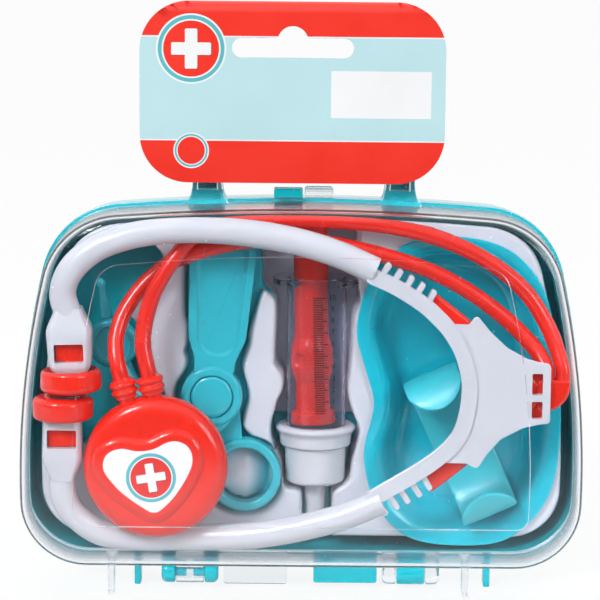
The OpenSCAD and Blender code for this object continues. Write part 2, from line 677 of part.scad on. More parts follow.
// Front of the chest piece: a shallow bell with a raised heart and two hose nipples
module chest_bell() {
    color(red) {
        translate([chest_c[0], chest_mid, chest_c[1]]) rotate([90, 0, 0]) rotate_extrude()
            polygon([[0, 0], [chest_r, 0], [chest_r, 3.6], [chest_r - 0.7, 5.8], [chest_r - 2.6, 7.6],
                [chest_r - 5.4, 8.4], [0, 8.4]]);
        skin([for (q = [[39.4, -19.4], [38.6, -20.4], [37, -21.5], [35.6, -21.8]])
            at_depth(heart_loop(q[0]), q[1])]);
        // nipples under the collars
        translate([-62, -14.4, 73]) rotate([0, 165.6, 0]) cylinder(r = 2.9, h = 5);
        translate([-52.6, -14.4, 74.6]) rotate([0, 167.7, 0]) cylinder(r = 2.9, h = 5);
    }
}

module chest_cover() {
    color(red) translate([chest_c[0], chest_back, chest_c[1]]) rotate([90, 0, 0]) rotate_extrude()
        polygon([[0, 0], [cover_r - 2, 0], [cover_r - 0.7, 0.8], [cover_r, 2], [cover_r, 5.2], [0, 5.2]]);
}

module heart_sticker() {
    color(white) slab(-21.95, -21.8) polygon(heart_loop(32.4));
}

// ---- Syringe -----------------------------------------------------------------------

brim_r = 14.6;
syringe_lean = 1.3;
syringe_mid = [4.2, face_inside - brim_r - seat_gap, 57];
hub_in = 1.2;             // how deep the barrel sits in the hub

// Children are drawn about the syringe's axis, with the barrel's foot at z = 0
module on_syringe() {
    translate(syringe_mid) rotate([0, -syringe_lean, 0]) children();
}

// Disc flattened front and back
module oval(r, flat, h) {
    intersection() {
        cylinder(r = r, h = h);
        translate([-r - 1, -flat, -1]) cube([2 * r + 2, 2 * flat, h + 2]);
    }
}

module syringe_barrel() {
    color(clear) on_syringe() difference() {
        union() {
            translate([0, 0, -hub_in]) cylinder(d = barrel_d, h = barrel_l);
            translate([0, 0, barrel_l - hub_in - 2.6]) oval(16, 9.6, 2.6);
        }
        translate([0, 0, -hub_in - 1]) cylinder(d = bore_d, h = barrel_l + 2);
    }
}

module syringe_plunger() {
    rod_r = 6.8;
    piston_z = 3.2;
    thumb_z = 72.4;
    color(red) on_syringe() difference() {
        union() {
            rotate_extrude() polygon([[0, piston_z], [bore_d / 2 - run_gap - 0.2, piston_z],
                [bore_d / 2 - run_gap, piston_z + 0.4], [bore_d / 2 - run_gap, piston_z + 4],
                [bore_d / 2 - run_gap - 0.4, piston_z + 4.4], [rod_r, piston_z + 4.6],
                [rod_r, 19.6], [rod_r + 0.8, 21.2], [rod_r + 0.8, 28.8], [rod_r, 30.4],
                [rod_r, thumb_z], [0, thumb_z]]);
            translate([0, 0, thumb_z]) oval(14.3, 8.6, 2.8);
        }
        // dimple in the boss, seen from the front left
        translate([0, 0, 25]) rotate([90, 0, -36]) translate([0, 0, rod_r - 0.4]) cylinder(r = 3.2, h = 4);
    }
}

module syringe_hub() {
    color(white) on_syringe() difference() {
        rotate_extrude() polygon([[0, -21.6], [9.6, -21.6], [10.8, -20.6], [11.2, -8], [13, -7.4],
            [13.2, -1.6], [13.8, -0.6], [brim_r, 0.2], [brim_r, 1.2], [brim_r - 1.4, 2], [0, 2]]);
        translate([0, 0, -hub_in]) cylinder(d = barrel_d, h = 6);
        translate([0, 0, -19.6]) cylinder(d = 18.4, h = 22);
    }
}

module syringe_nozzle() {
    color(white) on_syringe() rotate_extrude() polygon([[0, -37], [2.6, -37], [3, -36.2], [3.9, -21.8],
        [3.9, -21.6], [0, -21.6]]);
}

// ---- Scissors ----------------------------------------------------------------------

pivot = [-32.3, 71.2];
scissor_lean = 4.2;
front_y0 = -1.9;
front_y1 = front_y0 + half_t;
back_y0 = front_y1 + seat_gap;
back_y1 = back_y0 + half_t;
boss_r = 11;

// Children are drawn about the pivot, with the blades along +Z
module on_scissors() {
    translate([pivot[0], 0, pivot[1]]) rotate([0, scissor_lean, 0]) children();
}

function blade_outline() = concat(
    [[-7.2, 8], [-7, 13], [-8.6, 17], [-10, 21]],
    [[-12, 50]],
    arc(-4, 54.4, 8, 170, 90, 5),
    arc(4, 54.4, 8, 90, 10, 5),
    [[12, 50], [10.6, 21], [9, 17], [7.4, 13], [7.4, 8]]);

// Arm from the boss to its ring, on the given side
module arm(side) {
    polygon([[-side * 7, 6], [-side * 9.4, -5], [-side * 6, -11], [side * 4.4, -20], [side * 10, -24],
        [side * 12.4, -17], [side * 10.6, -6], [side * 8, 2]]);
}

module half_body(y0, y1, side, ring_y0, ring_y1) {
    ring_at = [side * 14.4, -28];
    difference() {
        union() {
            slab(y0, y1) polygon(blade_outline());
            slab(y0, y1) arm(side);
            translate([0, y1, 0]) rotate([90, 0, 0]) cylinder(r = boss_r, h = y1 - y0);
            translate([ring_at[0], ring_y1, ring_at[1]]) rotate([90, 0, 0])
                cylinder(d = ring_d, h = ring_y1 - ring_y0);
        }
        translate([ring_at[0], ring_y1 + 1, ring_at[1]]) rotate([90, 0, 0])
            cylinder(d = ring_d - 6.4, h = ring_y1 - ring_y0 + 2);
    }
}

module scissors_front_half() {
    color(teal) on_scissors() difference() {
        union() {
            half_body(front_y0, front_y1, -1, front_y0, front_y1);
            translate([0, front_y0 + 0.5, 0]) rotate([90, 0, 0]) cylinder(r = boss_r, h = 1.4);
        }
        // raised border round a sunk panel on the blade
        slab(front_y0 - 1, front_y0 + 0.9) polygon(concat(
            arc(0.4, 21.6, 7.4, 180, 360, 10), arc(1.4, 52.4, 8, 0, 90, 4), arc(-1.4, 52.4, 8, 90, 180, 4)));
        translate([0, front_y0 + 0.4, 0]) rotate([90, 0, 0]) cylinder(r = 7.6, h = 3);
        translate([0, front_y1 + 1, 0]) rotate([90, 0, 0]) cylinder(d = pivot_d + 2 * run_gap, h = half_t + 4);
    }
}

module scissors_back_half() {
    color(teal) on_scissors() difference() {
        half_body(back_y0, back_y1, 1, front_y1 - 3.8, back_y1);
        translate([0, back_y1 + 1, 0]) rotate([90, 0, 0]) cylinder(d = pivot_d, h = half_t + 2);
    }
}

module scissors_pivot() {
    color(teal) on_scissors() {
        translate([0, back_y1, 0]) rotate([90, 0, 0]) cylinder(d = pivot_d, h = back_y1 - front_y0 + 0.2);
        translate([0, front_y0 + 0.15, 0]) rotate([90, 0, 0]) rotate_extrude()
            polygon([[0, 0], [7.4, 0], [7.4, 0.4], [6.6, 0.9], [4, 1.15], [0, 1.2]]);
    }
}

// ---- Ear scope ---------------------------------------------------------------------

scope_head = [-68, 89.6];

module ear_scope() {
    grip = [[-66.4, 9.4, 82.4], [-62.6, 9.6, 74], [-58.6, 9.8, 66], [-55, 9.8, 60]];
    tip_y = face_inside - seat_gap;
    color(teal) difference() {
        union() {
            // eyepiece towards the lid, cone towards the back
            translate([scope_head[0], tip_y, scope_head[1]]) rotate([90, 0, 0]) rotate_extrude()
                polygon([[0, 0], [2.4, 0], [2.9, 0.6], [6.6, 12], [8.4, 13.4], [9.2, 15], [9.2, 20.4],
                    [8.2, 22.2], [0, 22.2]]);
            tube(grip, 3.8, 14);
        }
        translate([scope_head[0], tip_y - 19.6, scope_head[1]]) rotate([90, 0, 0])
            cylinder(r = 6.4, h = 4);
    }
}

module ear_scope_probe() {
    tip = [-72.2, 2.6, 111];
    root = [-70.3, 4, 98.8];
    d = tip - root;
    color(teal) translate(root) rotate([0, 0, atan2(d[1], d[0])]) rotate([0, atan2(norm([d[0], d[1]]), d[2]), 0])
        rotate_extrude() polygon([[0, 0], [2.1, 0], [1.9, 3], [1.2, norm(d) - 1.4], [1.7, norm(d) - 0.6],
            [1.9, norm(d) + 0.6], [1.5, norm(d) + 1.6], [0.7, norm(d) + 2.2], [0, norm(d) + 2.3]]);
}

// ---- Nodes -------------------------------------------------------------------------

back_shell();
front_shell();
header_card();
tray();
headset();
ear_plug_upper();
ear_plug_lower();
hose_junction();
hose_inner();
hose_outer();
hose_collar_inner();
hose_collar_outer();
chest_bell();
chest_cover();
heart_sticker();
syringe_barrel();
syringe_plunger();
syringe_hub();
syringe_nozzle();
scissors_front_half();
scissors_back_half();
scissors_pivot();
kidney_dish();
bandage_cuff();
ear_scope();
ear_scope_probe();
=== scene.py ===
"""Toy doctor case: a teal shell and a clear lid, toy instruments in a formed tray, and a header card.

The sections follow the case as it is put together. Shapes are worked out in millimetres, in the CAD frame.
"""

import math

import bmesh
import bpy
import numpy as np
from mathutils import Matrix


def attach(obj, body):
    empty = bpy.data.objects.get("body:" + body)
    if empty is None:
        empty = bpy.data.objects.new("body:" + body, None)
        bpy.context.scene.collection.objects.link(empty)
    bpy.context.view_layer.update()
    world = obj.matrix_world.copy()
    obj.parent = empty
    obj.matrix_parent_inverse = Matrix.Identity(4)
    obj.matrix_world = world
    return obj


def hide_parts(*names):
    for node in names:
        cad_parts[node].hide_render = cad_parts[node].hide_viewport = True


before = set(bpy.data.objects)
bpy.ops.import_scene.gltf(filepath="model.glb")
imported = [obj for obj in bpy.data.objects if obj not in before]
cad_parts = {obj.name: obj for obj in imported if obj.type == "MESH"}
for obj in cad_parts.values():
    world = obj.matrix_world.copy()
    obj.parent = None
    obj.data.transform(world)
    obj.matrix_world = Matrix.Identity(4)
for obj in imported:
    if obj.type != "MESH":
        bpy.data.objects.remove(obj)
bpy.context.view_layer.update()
scene = bpy.context.scene

# ---- Camera ------------------------------------------------------------------------
# A long lens in front of the case, a little above it and looking slightly down,
# turned by half a degree as the photograph is.

CAMERA_PITCH = math.radians(9.3)
CAMERA_ROLL = math.radians(0.53)
level = np.array([1.0, 0.0, 0.0])
ahead = np.array([0.0, math.cos(CAMERA_PITCH), -math.sin(CAMERA_PITCH)])
above = np.cross(level, ahead)
camera = bpy.data.objects.new("camera", bpy.data.cameras.new("camera"))
scene.collection.objects.link(camera)
scene.camera = camera
camera.data.sensor_width = 36.0
camera.data.lens = 151.5
camera.data.shift_x = -0.0045
camera.data.clip_end = 30.0
stance = np.eye(4)
stance[:3, 0] = level * math.cos(CAMERA_ROLL) + above * math.sin(CAMERA_ROLL)
stance[:3, 1] = above * math.cos(CAMERA_ROLL) - level * math.sin(CAMERA_ROLL)
stance[:3, 2] = -ahead
stance[:3, 3] = (0.0, -0.890, 0.252)
camera.matrix_world = Matrix(stance.tolist())

# ---- Red hoses ---------------------------------------------------------------------
# Two soft extruded hoses of the toy stethoscope, 5.8 mm thick, glossy, with a faint
# drawn grain along them. Each is pushed on the junction at the right, runs under the
# ear tubes and along the top of the case, and ends in a collar of the chest piece.


def paint(red, green, blue):
    """Linear colour of an sRGB colour given in 0 to 255, with alpha 1."""
    c = np.array([red, green, blue]) / 255.0
    c = np.where(c <= 0.04045, c / 12.92, ((c + 0.055) / 1.055) ** 2.4)
    return (*c.tolist(), 1.0)


def put(tree, kind, *given, **settings):
    """Adds a node to tree. given fills its inputs in order: a socket is linked, a value is set."""
    made = tree.nodes.new(kind)
    for key, value in settings.items():
        setattr(made, key, value)
    for place, value in enumerate(given):
        if isinstance(value, bpy.types.NodeSocket):
            tree.links.new(value, made.inputs[place])
        elif value is not None:
            made.inputs[place].default_value = value
    return made


def maths(tree, operation, *given):
    """Result of a Math node."""
    return put(tree, "ShaderNodeMath", *given, operation=operation).outputs[0]


def blended(tree, share, first, second):
    """Colour first where share is 0 and second where it is 1."""
    made = put(tree, "ShaderNodeMix", data_type="RGBA")
    for place, value in ((0, share), (6, first), (7, second)):
        if isinstance(value, bpy.types.NodeSocket):
            tree.links.new(value, made.inputs[place])
        else:
            made.inputs[place].default_value = value
    return made.outputs[2]


def new_group(name, inputs, outputs):
    """Shader node group with float, vector or colour sockets, and its two end nodes."""
    tree = bpy.data.node_groups.new(name, "ShaderNodeTree")
    kinds = {"f": "NodeSocketFloat", "v": "NodeSocketVector", "c": "NodeSocketColor"}
    for label, kind in inputs.items():
        tree.interface.new_socket(label, in_out="INPUT", socket_type=kinds[kind])
    for label, kind in outputs.items():
        tree.interface.new_socket(label, in_out="OUTPUT", socket_type=kinds[kind])
    return tree, tree.nodes.new("NodeGroupInput"), tree.nodes.new("NodeGroupOutput")


def ramp(tree, value, low, high, at_low, at_high):
    """Value carried from the span low to high onto at_low to at_high, and held past its ends."""
    return put(tree, "ShaderNodeMapRange", value, low, high, at_low, at_high).outputs[0]


def noise(tree, place, scale, detail, roughness):
    """Factor of a noise texture."""
    return put(tree, "ShaderNodeTexNoise", place, None, scale, detail, roughness).outputs[0]


def vectors(tree, operation, *given):
    """Vector Math node."""
    return put(tree, "ShaderNodeVectorMath", *given, operation=operation)


def new_finish(name):
    """Material, with its node tree, its shader and the object's coordinates."""
    made = bpy.data.materials.new(name)
    made.use_nodes = True
    tree = made.node_tree
    return made, tree, tree.nodes["Principled BSDF"], tree.nodes.new("ShaderNodeTexCoord").outputs["Object"]


def emboss(tree, shader, height, strength, distance=0.001):
    """Turns the shader's normal by the slope of height."""
    relief = put(tree, "ShaderNodeBump")
    relief.inputs["Strength"].default_value = strength
    relief.inputs["Distance"].default_value = distance
    tree.links.new(height, relief.inputs["Height"])
    tree.links.new(relief.outputs[0], shader.inputs["Normal"])


# Marks of moulding and of handling: cloudy colour, flow in the gloss, fine grain, dust
marks, taken, given_out = new_group(
    "moulding_marks",
    {"Place": "v", "Colour": "c", "Clouding": "f", "Roughness": "f", "Spread": "f", "Dust": "f"},
    {"Colour": "c", "Roughness": "f", "Height": "f"},
)
cloud = noise(marks, taken.outputs["Place"], 26.0, 3.0, 0.5)
flow = noise(marks, taken.outputs["Place"], 210.0, 4.0, 0.6)
swell = noise(marks, taken.outputs["Place"], 75.0, 1.0, 0.4)
grain = noise(marks, taken.outputs["Place"], 2600.0, 2.0, 0.5)
specks = put(marks, "ShaderNodeTexVoronoi", taken.outputs["Place"], None, 330.0).outputs[0]
speck = ramp(marks, specks, 0.045, 0.075, 1.0, 0.0)
dusty = maths(marks, "MULTIPLY", speck, taken.outputs["Dust"])
clouded = maths(marks, "MULTIPLY_ADD", cloud, 2.0, -1.0)
shade = maths(marks, "MULTIPLY_ADD", clouded, taken.outputs["Clouding"], 1.0)
tinted = vectors(marks, "SCALE", taken.outputs["Colour"])
marks.links.new(shade, tinted.inputs["Scale"])
marks.links.new(blended(marks, dusty, tinted.outputs[0], (0.86, 0.87, 0.9, 1.0)), given_out.inputs["Colour"])
uneven = maths(marks, "MULTIPLY", maths(marks, "SUBTRACT", flow, 0.5), taken.outputs["Spread"])
gloss = maths(marks, "ADD", taken.outputs["Roughness"], uneven)
marks.links.new(maths(marks, "MULTIPLY_ADD", dusty, 0.4, gloss), given_out.inputs["Roughness"])
bumps = maths(marks, "MULTIPLY_ADD", grain, 0.02, swell)
marks.links.new(bumps, given_out.inputs["Height"])


def plastic(name, colour, roughness=0.2, clouding=0.035, spread=0.08, dust=0.0, bump=0.12, **sockets):
    """Moulded plastic; sockets sets other sockets of the shader, such as Coat_Weight."""
    made, tree, shader, where = new_finish(name)
    group = put(tree, "ShaderNodeGroup", node_tree=marks)
    tree.links.new(where, group.inputs["Place"])
    for label, value in (("Colour", colour), ("Clouding", clouding), ("Roughness", roughness),
                         ("Spread", spread), ("Dust", dust)):
        group.inputs[label].default_value = value
    tree.links.new(group.outputs["Colour"], shader.inputs["Base Color"])
    tree.links.new(group.outputs["Roughness"], shader.inputs["Roughness"])
    emboss(tree, shader, group.outputs["Height"], bump)
    shader.inputs["IOR"].default_value = 1.5
    for label, value in sockets.items():
        shader.inputs[label.replace("_", " ")].default_value = value
    return made


def smooth_path(points, steps):
    """Catmull-Rom curve through the points: each span is the cubic whose end slopes are half the chord
    between the neighbours of its end points."""
    p = np.asarray(points, float)
    q = np.vstack([p[:1], p, p[-1:]])
    t = (np.arange(steps) / steps)[None, :, None]
    a, b, c, d = (v[:, None, :] for v in (q[:-3], q[1:-2], q[2:-1], q[3:]))
    s = 0.5 * (2 * b + (c - a) * t + (2 * a - 5 * b + 4 * c - d) * t**2 + (3 * b - a - 3 * c + d) * t**3)
    return np.vstack([s.reshape(-1, p.shape[1]), p[-1:]])


def unit(v):
    """Vectors of length one along the last axis."""
    v = np.asarray(v, float)
    return v / np.linalg.norm(v, axis=-1, keepdims=True)


def tube_rings(path, radius, around):
    """Rings round a path: each point plus radius times the cosine and sine of an angle along two directions
    square to the path. The path never runs along Y."""
    p = np.asarray(path, float)
    along = unit(np.vstack([p[1:], p[-1:]]) - np.vstack([p[:1], p[:-1]]))
    side = unit(np.cross([0.0, 1.0, 0.0], along))
    up = np.cross(along, side)
    angle = np.linspace(0, 2 * np.pi, around, endpoint=False)[None, :, None]
    r = np.broadcast_to(radius, len(p))[:, None, None]
    return p[:, None] + r * (np.cos(angle) * side[:, None] + np.sin(angle) * up[:, None])


def skin(rings):
    """Closed surface over rings of equally many points: quads between them and a flat face at each end."""
    rings = np.asarray(rings, float)
    m, n = rings.shape[:2]
    i, j = np.meshgrid(np.arange(m - 1), np.arange(n), indexing="ij")
    k = (j + 1) % n
    sides = np.stack([i * n + j, i * n + k, (i + 1) * n + k, (i + 1) * n + j], -1).reshape(-1, 4)
    ends = [list(range(n))[::-1], list(range((m - 1) * n, m * n))]
    return rings.reshape(-1, 3), sides.tolist() + ends


def raw_mesh(name, part):
    """Mesh of a part, with doubled points merged, thin faces gone and faces turned outwards."""
    mesh = bpy.data.meshes.new(name)
    mesh.from_pydata((np.asarray(part[0]) * 0.001).tolist(), [], part[1])
    work = bmesh.new()
    work.from_mesh(mesh)
    bmesh.ops.remove_doubles(work, verts=work.verts, dist=2e-7)
    bmesh.ops.dissolve_degenerate(work, edges=work.edges, dist=1e-8)
    bmesh.ops.recalc_face_normals(work, faces=work.faces)
    work.to_mesh(mesh)
    work.free()
    return mesh


def together(parts):
    """Several parts as one, each still its own closed surface."""
    count, faces = 0, []
    for verts, polygons in parts:
        faces += [[count + v for v in polygon] for polygon in polygons]
        count += len(verts)
    return np.vstack([v for v, _ in parts]), faces


SHARP_FROM = math.radians(32.0)                 # edges bent by more than this stay crisp


def piece(name, part, finish, body, nodes=()):
    """Object from a part in millimetres; it rides on body and stands for the CAD nodes."""
    mesh = raw_mesh(name, part)
    mesh.shade_smooth()
    mesh.set_sharp_from_angle(angle=SHARP_FROM)
    mesh.materials.append(finish)
    made = bpy.data.objects.new(name, mesh)
    scene.collection.objects.link(made)
    made.modifiers.new("flat_faces", "WEIGHTED_NORMAL").keep_sharp = True
    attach(made, body)
    if nodes:
        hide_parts(*nodes)
    return made


hose_gloss = plastic("hose_rubber", paint(226, 32, 16), roughness=0.26, clouding=0.05, spread=0.14,
                     dust=0.15, bump=0.1, Coat_Weight=0.35, Coat_Roughness=0.12)
HOSE_D = 5.8
inner_route = [
    [86.4, -12.4, 80.6], [86.4, -12.4, 84], [83.4, -9.4, 89.8], [77.6, -6.8, 96.2], [69.4, -5.8, 103.4],
    [58, -5.6, 111.4], [45, -5.4, 118], [30, -5.4, 123], [14, -5.4, 126.6], [-2, -5.4, 129],
    [-18, -5.6, 128.4], [-30, -5.7, 126.2], [-39.4, -5.3, 123.3], [-46.2, -3.5, 120.4], [-52.6, -3, 115.6],
    [-58.6, -4.2, 109.4], [-63.4, -6.6, 102], [-65.8, -9.6, 94.6], [-65.8, -12.8, 88.4],
    [-64.8, -14.4, 83.9], [-63.8, -14.4, 80],
]
outer_route = [
    [92.4, -12.4, 80.6], [92.4, -12.4, 84.6], [89.8, -9.4, 92.4], [85.6, -7, 101.4], [78.6, -6.2, 111.4],
    [67.4, -6.2, 120.6], [53, -6.2, 128], [37, -6.2, 132.8], [20, -6.2, 135.2], [2, -6.2, 136],
    [-14, -6.2, 136], [-26, -6.2, 135], [-34, -6.6, 132.6], [-39.8, -8, 129], [-44.4, -9.8, 123.6],
    [-49, -10.8, 117], [-53, -11.2, 109], [-55.6, -12, 99.6], [-56.2, -13.4, 91.6], [-54.9, -14.4, 85.1],
    [-54, -14.4, 81],
]
for hose, route in (("hose_inner", inner_route), ("hose_outer", outer_route)):
    line = smooth_path(route, 6)
    made = piece(hose, skin(tube_rings(line, HOSE_D / 2, 28)), hose_gloss, "case", [hose])

# ---- Hose junction -----------------------------------------------------------------
# Red moulded block behind the right end of the yoke. Both hoses plug on its top, and two
# arms run from it to the combs of the ear tubes.


def softened(points, reach, steps=4, closed=False):
    """Polyline whose corners are each replaced by a parabola that leaves and meets the sides reach away."""
    p = np.asarray(points, float)
    before, after = np.roll(p, 1, 0) - p, np.roll(p, -1, 0) - p
    a, b = np.linalg.norm(before, axis=1), np.linalg.norm(after, axis=1)
    d = np.minimum(reach, 0.49 * np.minimum(a, b))
    t = np.linspace(0, 1, steps + 1)[None, :, None]
    start = (p + before * (d / a)[:, None])[:, None]
    stop = (p + after * (d / b)[:, None])[:, None]
    q = (1 - t) ** 2 * start + 2 * t * (1 - t) * p[:, None] + t**2 * stop
    if closed:
        return q.reshape(-1, p.shape[1])
    return np.vstack([p[:1], q[1:-1].reshape(-1, p.shape[1]), p[-1:]])


def inset(loop, d):
    """Counter-clockwise loop moved inwards by d, square to the chord between each point's neighbours."""
    t = unit(np.roll(loop, -1, 0) - np.roll(loop, 1, 0))
    return loop + d * np.stack([-t[:, 1], t[:, 0]], 1)


def at_depth(loop, y):
    """Loop of x and z placed at depth y."""
    return np.stack([loop[:, 0], np.full(len(loop), float(y)), loop[:, 1]], 1)


def plate(loop, y0, y1, edge=0.4, steps=3):
    """Outline in x and z, y0 to y1 deep, with both its edges rounded by quarter circles of radius edge."""
    loop = np.asarray(loop, float)
    a = np.linspace(0, np.pi / 2, steps + 1)
    back = [(edge * (1 - np.sin(v)), y1 - edge * (1 - np.cos(v))) for v in a]
    front = [(edge * (1 - np.sin(v)), y0 + edge * (1 - np.cos(v))) for v in a[::-1]]
    return skin([at_depth(inset(loop, d), y) for d, y in back + front])


def slab(loop, y0, y1):
    """Outline in x and z carried straight from depth y0 to y1."""
    return skin([at_depth(loop, y0), at_depth(loop, y1)])


def block(x0, x1, y0, y1, z0, z1, round_off=0.5):
    """Box with rounded corners and edges."""
    corners = [[x0, z0], [x1, z0], [x1, z1], [x0, z1]]
    return plate(softened(corners, round_off * 1.4, 3, True), y0, y1, round_off)


def turned(profile, centre, axis, around=64):
    """Surface turned about axis through centre: profile gives radius and height for each ring."""
    axis = unit(axis)
    side = unit(np.cross(axis, [0.3, 1.0, 0.2] if abs(axis[1]) < 0.9 else [1.0, 0.0, 0.0]))
    up = np.cross(axis, side)
    angle = np.linspace(0, 2 * np.pi, around, endpoint=False)[None, :, None]
    profile = np.asarray(profile, float)
    r, h = profile[:, 0][:, None, None], profile[:, 1][:, None, None]
    return skin(np.asarray(centre, float) + h * axis + r * (np.cos(angle) * side + np.sin(angle) * up))


def rod(radius, low, high, centre, axis, around):
    """Round rod between two heights along axis through centre."""
    return turned([[0, low], [radius, low], [radius, high], [0, high]], centre, axis, around)


red_gloss = plastic("red_moulding", paint(234, 36, 14), roughness=0.16, clouding=0.04, spread=0.08,
                    dust=0.12, bump=0.14, Coat_Weight=0.4, Coat_Roughness=0.06)
JOINT_Y = -12.4                                 # depth of the junction's middle


def bar(path, section):
    """Bar along points of x, z and widening: the section's first value runs across the path, the second
    in y."""
    path, section = np.asarray(path, float), np.asarray(section, float)
    t = unit(np.vstack([path[1:, :2], path[-1:, :2]]) - np.vstack([path[:1, :2], path[:-1, :2]]))
    across = section[None, :, 0] * path[:, 2:3]
    return skin(np.stack([path[:, 0:1] + across * t[:, 1:2], np.broadcast_to(section[:, 1], across.shape),
                          path[:, 1:2] - across * t[:, 0:1]], -1))


arm_section = softened([[3.05, -15.8], [3.05, -10.4], [-3.05, -10.4], [-3.05, -15.8]], 1.7, 5, True)
arms = [
    [[82, 77.4, 1], [75, 83.6, 1], [65, 92.6, 1], [55.5, 100.8, 1], [46.5, 107.8, 1], [44.6, 109.2, 0.96]],
    [[82, 75, 1], [75, 68.6, 1], [64.4, 58.8, 1], [54.5, 50.1, 1], [46.3, 43.6, 1], [44.6, 42.2, 0.96]],
]
end_loop = softened([[82.6, 81], [82.6, 69.4], [88.6, 69.8], [91.8, 71.6], [94.2, 74.8], [95.2, 78.4],
                     [95.2, 81]], 2.2, 5, True)
piece("hose_junction_body", together([
    block(80.2, 85.2, JOINT_Y - 2.6, JOINT_Y + 2.6, 66.9, 84.3, 0.6),
    plate(end_loop, JOINT_Y - 3.1, JOINT_Y + 3.1, 1.2),
    *[bar(smooth_path(arm, 6), arm_section) for arm in arms],
]), red_gloss, "case", ["hose_junction"])

# ---- Teal shell and clear lid ------------------------------------------------------
# One moulding used twice: a drafted shell with a proud rim, half a hollow handle, a latch
# tongue, hinge ears, a bored knuckle and two fins. The back one is teal, the lid is clear
# polished styrene turned half round. A shallow window is sunk in each big face.


def arc(cx, cz, r, a0, a1, steps):
    """Points of x and z on a circle from angle a0 to a1, in degrees."""
    a = np.radians(np.linspace(a0, a1, steps + 1))
    return np.stack([cx + r * np.cos(a), cz + r * np.sin(a)], 1)


WIDEST_Z = 45.0                                 # height at which the case is widest


def bowed(half_width, top, foot, side_r, top_r, r_top, r_foot, d, corner=14, side=12):
    """Trapezoid with bowed sides and top, widest at WIDEST_Z, built of tangent arcs, moved inwards by d."""
    s, u = np.array([half_width - side_r, WIDEST_Z]), np.array([0.0, top - top_r])
    r1, r2 = side_r - r_top, top_r - r_top
    apart = np.linalg.norm(u - s)
    e = (u - s) / apart
    along = (r1**2 - r2**2 + apart**2) / (2 * apart)
    t = s + along * e + math.sqrt(r1**2 - along**2) * np.array([-e[1], e[0]])
    fz = foot + r_foot
    fx = s[0] + math.sqrt((side_r - r_foot) ** 2 - (fz - WIDEST_Z) ** 2)
    a_foot = math.degrees(math.atan2(fz - WIDEST_Z, fx - s[0]))
    a_side = math.degrees(math.atan2(t[1] - WIDEST_Z, t[0] - s[0]))
    a_top = math.degrees(math.atan2(t[1] - u[1], t[0]))
    return np.vstack([arc(fx, fz, r_foot - d, -90, a_foot, corner),
                      arc(s[0], s[1], side_r - d, a_foot, a_side, side)[1:],
                      arc(t[0], t[1], r_top - d, a_side, a_top, corner)[1:],
                      arc(0, u[1], top_r - d, a_top, 180 - a_top, 24)[1:],
                      arc(-t[0], t[1], r_top - d, 180 - a_top, 180 - a_side, corner)[1:],
                      arc(-s[0], s[1], side_r - d, 180 - a_side, 180 - a_foot, side)[1:],
                      arc(-fx, fz, r_foot - d, 180 - a_foot, 270, corner)[1:]])


def rim_outline(d):
    """Outline of the rims moved inwards by d."""
    return bowed(half_width=100.88, top=143.2, foot=12.2, side_r=315, top_r=820, r_top=30, r_foot=25, d=d)


def solid(parts, cuts=()):
    """One closed surface: the parts joined, less the cuts, by Boolean modifiers."""
    base = bpy.data.objects.new("stock", raw_mesh("stock", parts[0]))
    scene.collection.objects.link(base)
    for operation, others in (("UNION", parts[1:]), ("DIFFERENCE", cuts)):
        for other in others:
            cutter = bpy.data.objects.new("cutter", raw_mesh("cutter", other))
            scene.collection.objects.link(cutter)
            step = base.modifiers.new(operation, "BOOLEAN")
            step.operation, step.solver, step.object = operation, "MANIFOLD", cutter
            whole = base.evaluated_get(bpy.context.evaluated_depsgraph_get())
            mesh = bpy.data.meshes.new_from_object(whole)
            base.modifiers.clear()
            base.data = mesh
            bpy.data.objects.remove(cutter)
    verts = np.zeros(len(base.data.vertices) * 3)
    base.data.vertices.foreach_get("co", verts)
    faces = [list(p.vertices) for p in base.data.polygons]
    bpy.data.objects.remove(base)
    return verts.reshape(-1, 3) * 1000.0, faces


EDGE_Y, EDGE_R, INSIDE_R = 20.5, 4.5, 3.1       # the face's rounding: its start, outer and inner radius
TONGUE, TONGUE_Z = (-10.5, -0.3), 143.45        # the latch tongue's sides, and the rim's top under it
PIN_Z = 6                                       # height of the hinge's axis


